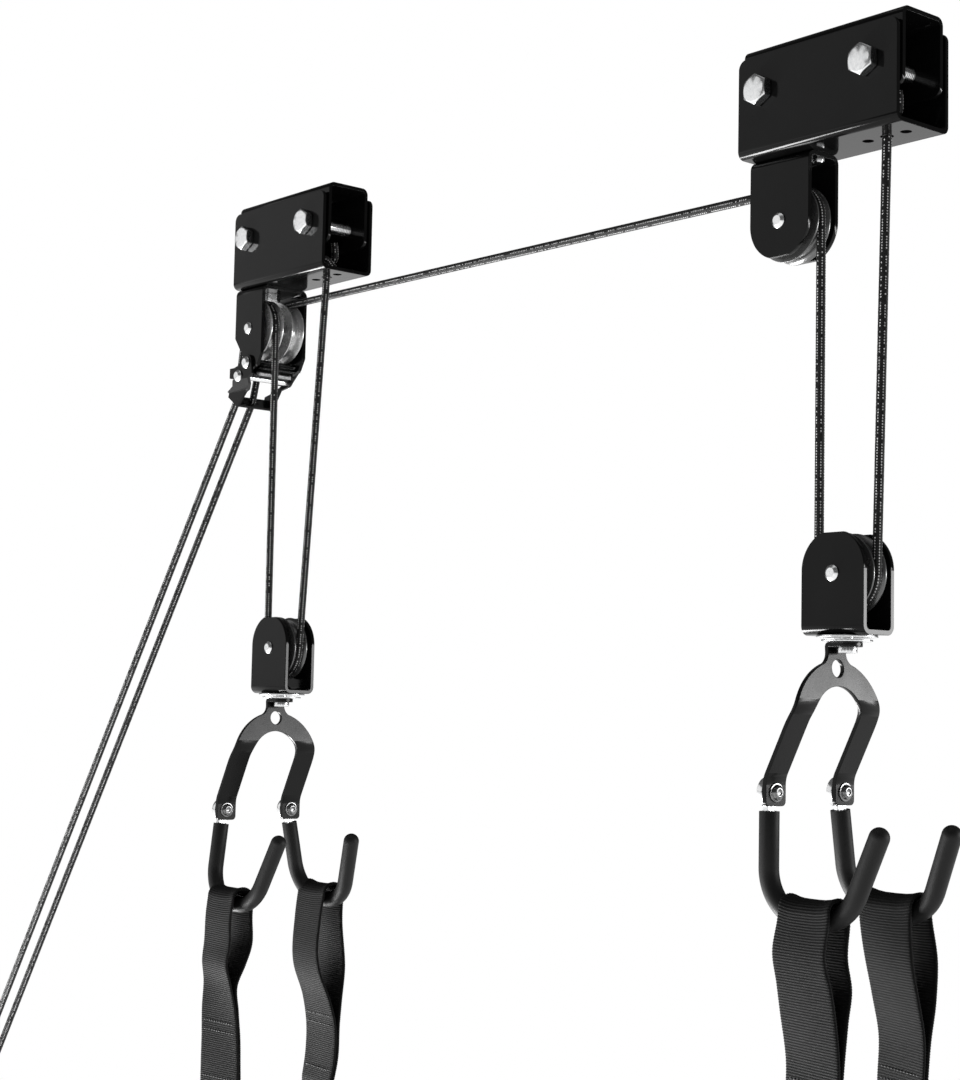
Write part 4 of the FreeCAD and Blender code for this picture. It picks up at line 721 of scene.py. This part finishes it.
def stitches(side, where):
    """Rows of lock stitch across the sewn part, seen on both faces."""
    vertices, faces = [], []
    for drop in STITCH_ROWS:
        at_drop = hanging(side, where, [drop])
        middle, across, apart = (Vector(rows[0]) for rows in at_drop[:3])
        gap, width = (float(values[0]) for values in at_drop[3:])
        count = int((width - STITCH_MARGIN) / STITCH_PITCH)
        for face in (-1, 1):
            out = apart * face
            row = middle + out * (gap / 2 + STRAP_HALF + 0.12 * MM)
            for k in range(count):
                x = (k - (count - 1) / 2) * STITCH_PITCH
                start, end = row + across * (x - STITCH_HALF), row + across * (x + STITCH_HALF)
                faces += bead_faces(len(vertices))
                vertices += [tuple(p) for ring in bead(start, end, out) for p in ring]
    mesh = bpy.data.meshes.new(f"{side}_{where}_stitches")
    mesh.from_pydata(vertices, [], faces)
    return placed(mesh, THREAD)


def sling(side, seed):
    """From one sewn part down under the load and up to the other."""
    legs = []
    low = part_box(f"{side}_sling")[0].z
    rest = {where: hook_bottom(side, where) for where in WHERES}
    half = (rest["rear"].y - rest["front"].y) / 2
    for where in WHERES:
        length = rest[where].z - (low + half + STRAP_HALF)
        down = np.arange(LOOP_END - 1 * MM, length, 1 * MM)
        middle, across, _apart, _gap, width = hanging(side, where, down)
        legs.append((middle, across, width))
    (front, front_across, front_width), (rear, rear_across, rear_width) = legs
    turn = np.linspace(0, math.pi, 90)[1:-1]
    x, y = front[-1, 0], (rest["rear"].y + rest["front"].y) / 2
    bottom_z = min(front[-1, 2], rear[-1, 2])
    under_y, under_z = y - half * np.cos(turn), bottom_z - half * np.sin(turn)
    under = np.stack([np.full_like(turn, x), under_y, under_z], -1)
    points = np.concatenate([front, under, rear[::-1]])
    under_across = np.tile([1.0, 0, 0], (len(turn), 1))
    across_all = np.concatenate([front_across, under_across, rear_across[::-1]])
    width_all = np.concatenate([front_width, np.full(len(turn), STRAP_WIDTH), rear_width[::-1]])
    return webbing(f"{side}_sling_webbing", points, across_all, width_all, seed)


for seed, side in enumerate(SIDES):
    band = sling(side, 3.1 * seed + 0.7)
    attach(band, f"{side}_gambrel")
    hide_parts(f"{side}_sling")
    for where in WHERES:
        strap = loop(side, where, 1.3 + 2.3 * seed + OUTWARD[where])
        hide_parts(f"{side}_{where}_strap_loop")
        for piece in (strap, stitches(side, where)):
            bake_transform(piece)

# --- Fasteners ------------------------------------------------------------------

TURNED = 72
CORNER_SLOPE = {"hex": 0.0, "crown": -0.55, "foot": 0.55}
THREAD_DEPTH = 0.5 * MM
WORN_EDGE = 0.25 * MM
WORN_ANGLE = math.radians(32)


def levels(*rows):
    """Levels in metres from rows (kind, size, height) in millimetres."""
    return [(kind, size * MM, height * MM) for kind, size, height in rows]


def turned_part(name, heights, place):
    """A closed turned or hexagonal part through its levels, up its own Z axis."""
    angle = 2 * math.pi * np.arange(TURNED) / TURNED
    rings = []
    for kind, size, height in heights:
        if kind == "round":
            reach, z = np.full(TURNED, size), np.full(TURNED, height)
        else:
            reach = size / np.cos((angle + math.pi / 6) % (math.pi / 3) - math.pi / 6)
            z = height + CORNER_SLOPE[kind] * (reach - size * 0.98)
        rings.append(np.stack([reach * np.cos(angle), reach * np.sin(angle), z], -1))
    rings = np.array(rings)
    world = np.array(place)
    rings = rings @ world[:3, :3].T + world[:3, 3]
    return lofted(name, rings, angle, rings[:, 0, 2], ZINC)


def threaded(radius, low, high, pitch):
    """Levels of a shank whose last part looks rolled with a thread."""
    count = int((high - low) / (pitch / 2))
    radii = (radius, radius - THREAD_DEPTH)
    return [("round", radii[k % 2], low + (high - low) * k / count) for k in range(count + 1)]


def sharp_shading(obj):
    """Keep corners crisp and give them a narrow worn edge."""
    bevel = obj.modifiers.new("edge", "BEVEL")
    bevel.width, bevel.segments = WORN_EDGE, 2
    bevel.limit_method, bevel.angle_limit = "ANGLE", WORN_ANGLE
    normals = obj.modifiers.new("normals", "WEIGHTED_NORMAL")
    normals.keep_sharp = True


def merged(name, parts, material):
    """Join several fasteners into one piece."""
    vertices, faces, base = [], [], 0
    for part in parts:
        mesh = part.data
        vertices += [tuple(v.co) for v in mesh.vertices]
        faces += [[base + i for i in p.vertices] for p in mesh.polygons]
        base += len(mesh.vertices)
        bpy.data.objects.remove(part)
    mesh = bpy.data.meshes.new(name)
    mesh.from_pydata(vertices, [], faces)
    obj = placed(mesh, material)
    sharp_shading(obj)
    return obj


def facing(spot, direction):
    """A frame at a spot whose Z axis points along a direction."""
    z = Vector(direction).normalized()
    x = Vector((0, 0, 1)).cross(z) if abs(z.z) < 0.9 else Vector((1, 0, 0))
    x.normalize()
    y = z.cross(x)
    turn = Matrix((x, y, z)).transposed().to_4x4()
    return Matrix.Translation(spot) @ turn


# The brackets' hex bolts and nuts, in millimetres.
CLAMP_FLAT, CLAMP_HEAD, CLAMP_NUT, CLAMP_TAIL = 8.5, 6.8, 8.4, 4
CLAMP_SHANK, CLAMP_GROOVE, CLAMP_PITCH = 4.95, 0.5, 1.5
CLAMP_FREE = 0.42
CLAMP_SHIFT, CLAMP_HALF_SPACING, CLAMP_DROP = 2.3, 40.8, 29.7

clamp_bolts, clamp_nuts = [], []
for side in SIDES:
    low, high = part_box(f"{side}_outer_channel")
    middle, z = (low.x + high.x) / 2 - CLAMP_SHIFT * MM, -CLAMP_DROP * MM
    wide = (high.y - low.y) / MM
    head = levels(
        ("round", 0.3, CLAMP_HEAD), ("round", 7.3, CLAMP_HEAD),
        ("crown", CLAMP_FLAT, CLAMP_HEAD - 0.35), ("hex", CLAMP_FLAT, 0.7),
        ("round", 8.1, 0.5), ("round", 8.1, 0.02),
        ("round", 4.9, 0.02), ("round", 4.9, -wide * CLAMP_FREE),
    )
    plain, tip = (wide * CLAMP_FREE + CLAMP_GROOVE) * MM, (wide + CLAMP_NUT + CLAMP_TAIL) * MM
    tail = threaded(CLAMP_SHANK * MM, -plain, -tip, -CLAMP_PITCH * MM)
    end = levels(("round", 3.9, -tip / MM - 0.8))
    nut = levels(
        ("round", 5.02, 0.1), ("round", 7.6, 0.02), ("foot", CLAMP_FLAT, 0.4),
        ("crown", CLAMP_FLAT, CLAMP_NUT - 0.4), ("round", 7.6, CLAMP_NUT),
        ("round", 5.6, CLAMP_NUT), ("round", 5.02, CLAMP_NUT - 0.6),
    )
    for way in (-1, 1):
        x = middle + way * CLAMP_HALF_SPACING * MM
        clamp_bolts.append(turned_part("bolt", head + tail + end, facing((x, low.y, z), (0, -1, 0))))
        clamp_nuts.append(turned_part("nut", nut, facing((x, high.y, z), (0, 1, 0))))

clamps = (("hex_bolts", clamp_bolts, "clamp_bolts"), ("hex_nuts", clamp_nuts, "clamp_nuts"))
for name, parts, node in clamps:
    piece = merged(name, parts, ZINC)
    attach(piece, "ceiling_brackets")
    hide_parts(node)

# The hooks' socket screws and thin nuts, in millimetres.
HOOK_HEAD, HOOK_NUT, HOOK_GRIP, HOOK_HALF_SPACING = 3, 2, 7.2, 31
HOOK_TIP = HOOK_GRIP + HOOK_NUT

screw = levels(
    ("round", 0.3, 2.3), ("round", 1.5, 2.3), ("round", 1.9, 3.1), ("round", 2.9, 3.05),
    ("round", 3.9, 2.6), ("round", 4.4, 1.8), ("round", 4.45, 1.0), ("round", 4.7, 0.8),
    ("round", 5.6, 0.8), ("round", 5.75, 0.5), ("round", 5.75, 0.02), ("round", 2.95, 0.02),
    ("round", 2.95, -HOOK_TIP - 0.4), ("round", 2.4, -HOOK_TIP - 0.9),
)
nut = levels(
    ("round", 3.0, 0.1), ("round", 3.7, 0.02), ("foot", 4.25, 0.3),
    ("crown", 4.25, HOOK_NUT - 0.3), ("round", 3.7, HOOK_NUT), ("round", 3.0, HOOK_NUT),
)
for side in SIDES:
    low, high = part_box(f"{side}_hook_bolts")
    face, z = high.x - HOOK_HEAD * MM, (low.z + high.z) / 2
    parts = []
    for where in WHERES:
        y = OUTWARD[where] * HOOK_HALF_SPACING * MM
        parts.append(turned_part("bolt", screw, facing((face, y, z), (1, 0, 0))))
        parts.append(turned_part("nut", nut, facing((face - HOOK_GRIP * MM, y, z), (-1, 0, 0))))
    piece = merged(f"{side}_hook_screws", parts, DULL_ZINC)
    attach(piece, f"{side}_gambrel")
    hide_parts(f"{side}_hook_bolts")

# --- Finish of the CAD parts ----------------------------------------------------

EDGE_WIDTH = {"black_steel": 0.45, "zinc": 0.25, "soft_coating": 0.8, "sheave": 0.3}
PLAIN_FINISH = {"black_steel": BLACK, "zinc": ZINC, "soft_coating": VINYL}
# The far pair of sheaves take a lighter grey than the others: painted light for the light that pair catches.
SHEAVE_LEVEL, PAINTED_LIGHT_SHEAVE_LEVEL = 0.14, 0.55
PAINTED_LIGHT_SHEAVES = ("left_front_sheave", "left_rear_sheave")
WELD_REACH = 0.002 * MM
SAME_FLAT = math.radians(0.3)
EDGE_ANGLE = math.radians(40)
SLOT_OF = {row["node"]: row["material_slot"] for row in frame["record"]["subparts"]}

for node, obj in frame["nodes"].items():
    if obj.hide_render:
        continue
    slot = SLOT_OF[node]
    if node == "lock_cam":
        dress(obj, DARK_STEEL)
    elif node.endswith("_gambrel"):
        dress(obj, HANGER_BLACK)
    elif slot == "sheave":
        # Painted light: the far pair of sheaves get the lighter grey.
        level = PAINTED_LIGHT_SHEAVE_LEVEL if node in PAINTED_LIGHT_SHEAVES else SHEAVE_LEVEL
        dress(obj, sheave_grey(f"{node}_finish", centre(node), level))
    else:
        dress(obj, PLAIN_FINISH[slot])
    weld = obj.modifiers.new("weld", "WELD")
    weld.merge_threshold = WELD_REACH
    clean = obj.modifiers.new("joined_flats", "DECIMATE")
    clean.decimate_type, clean.angle_limit = "DISSOLVE", SAME_FLAT
    bevel = obj.modifiers.new("worn_edge", "BEVEL")
    bevel.width, bevel.segments = EDGE_WIDTH[slot] * MM, 3
    bevel.limit_method, bevel.angle_limit = "ANGLE", EDGE_ANGLE
    bevel.use_clamp_overlap = True
    bevel.harden_normals = True

# --- Floor, light and camera ----------------------------------------------------

FLOOR_Z, FLOOR_SIZE = -2.6, 160
SURROUNDINGS_SEEN, SURROUNDINGS_REFLECTED = 1.0, 0.1
HOIST_MIDDLE = (0, 0, -0.35)

CAMERA_PLACE = (1.0766, -0.9572, -0.4196)
CAMERA_TURN, CAMERA_PITCH, CAMERA_ROLL = (math.radians(a) for a in (49.62, 5.08, 1.23))
LENS_LENGTH, FILM_HEIGHT = 69.59, 36


def stage_floor():
    """A plain pale floor, bright enough to meet the white surroundings without a horizon."""
    bpy.ops.mesh.primitive_plane_add(size=FLOOR_SIZE, location=(0, 0, FLOOR_Z))
    floor = bpy.context.object
    floor.name = "floor"
    f = Finish("pale_floor")
    glow = f.add("Emission", Color=grey(1.0), Strength=1.0)
    f.tree.links.new(glow.outputs[0], f.tree.nodes["Material Output"].inputs[0])
    dress(floor, f.material)


def softbox(name, direction, distance, size, radiance, aim=HOIST_MIDDLE):
    """A rectangular panel of soft light that faces the hoist; reflections see it, the camera doesn't."""
    light = bpy.data.lights.new(name, "AREA")
    light.shape, light.size, light.size_y = "RECTANGLE", size[0], size[1]
    light.energy = radiance * math.pi * size[0] * size[1]
    lamp = bpy.data.objects.new(name, light)
    bpy.context.scene.collection.objects.link(lamp)
    away = Vector(direction).normalized()
    lamp.location = Vector(aim) + away * distance
    lamp.rotation_euler = away.to_track_quat("Z", "Y").to_euler()
    lamp.visible_camera = False


def studio_world():
    """White to the camera, dim in reflections, so that black parts stay black."""
    world = bpy.data.worlds.new("studio")
    bpy.context.scene.world = world
    world.use_nodes = True
    tree = world.node_tree
    tree.nodes.clear()
    out = tree.nodes.new("ShaderNodeOutputWorld")
    blend = tree.nodes.new("ShaderNodeMixShader")
    path = tree.nodes.new("ShaderNodeLightPath")
    tree.links.new(path.outputs["Is Camera Ray"], blend.inputs[0])
    for place, strength in ((1, SURROUNDINGS_REFLECTED), (2, SURROUNDINGS_SEEN)):
        glow = tree.nodes.new("ShaderNodeBackground")
        glow.inputs["Color"].default_value = grey(1.0)
        glow.inputs["Strength"].default_value = strength
        tree.links.new(glow.outputs[0], blend.inputs[place])
    tree.links.new(blend.outputs[0], out.inputs[0])


def place_camera():
    """Below the brackets, in front and to the right, looking slightly up."""
    heading = Vector((-math.sin(CAMERA_TURN), math.cos(CAMERA_TURN), 0))
    ahead = heading * math.cos(CAMERA_PITCH) + Vector((0, 0, math.sin(CAMERA_PITCH)))
    level = Vector((math.cos(CAMERA_TURN), math.sin(CAMERA_TURN), 0))
    upright = level.cross(ahead)
    right = level * math.cos(CAMERA_ROLL) + upright * math.sin(CAMERA_ROLL)
    up = upright * math.cos(CAMERA_ROLL) - level * math.sin(CAMERA_ROLL)
    turned = Matrix((right, up, -ahead)).transposed().to_4x4()
    lens = bpy.data.cameras.new("camera")
    lens.sensor_fit, lens.sensor_height, lens.sensor_width = "VERTICAL", FILM_HEIGHT, FILM_HEIGHT
    lens.lens, lens.clip_start, lens.clip_end = LENS_LENGTH, 0.01, 300
    camera = bpy.data.objects.new("camera", lens)
    bpy.context.scene.collection.objects.link(camera)
    camera.matrix_world = Matrix.Translation(CAMERA_PLACE) @ turned
    bpy.context.scene.camera = camera


stage_floor()
studio_world()
softbox("rim_light", (0.74, 0.66, 0.0), 2.4, (1.1, 0.32), 18.0, (0, 0, -0.26))
softbox("front_light", (-0.66, -0.66, 0.27), 2.6, (2.4, 1.6), 0.75)
softbox("edge_strip", (-0.60, -0.29, -0.70), 2.2, (2.0, 0.34), 42.0, (0, 0, -0.07))
softbox("top_light", (0.1, -0.2, 1.0), 2.6, (2.0, 2.0), 0.5)
place_camera()
bpy.context.scene.view_settings.view_transform = "Standard"
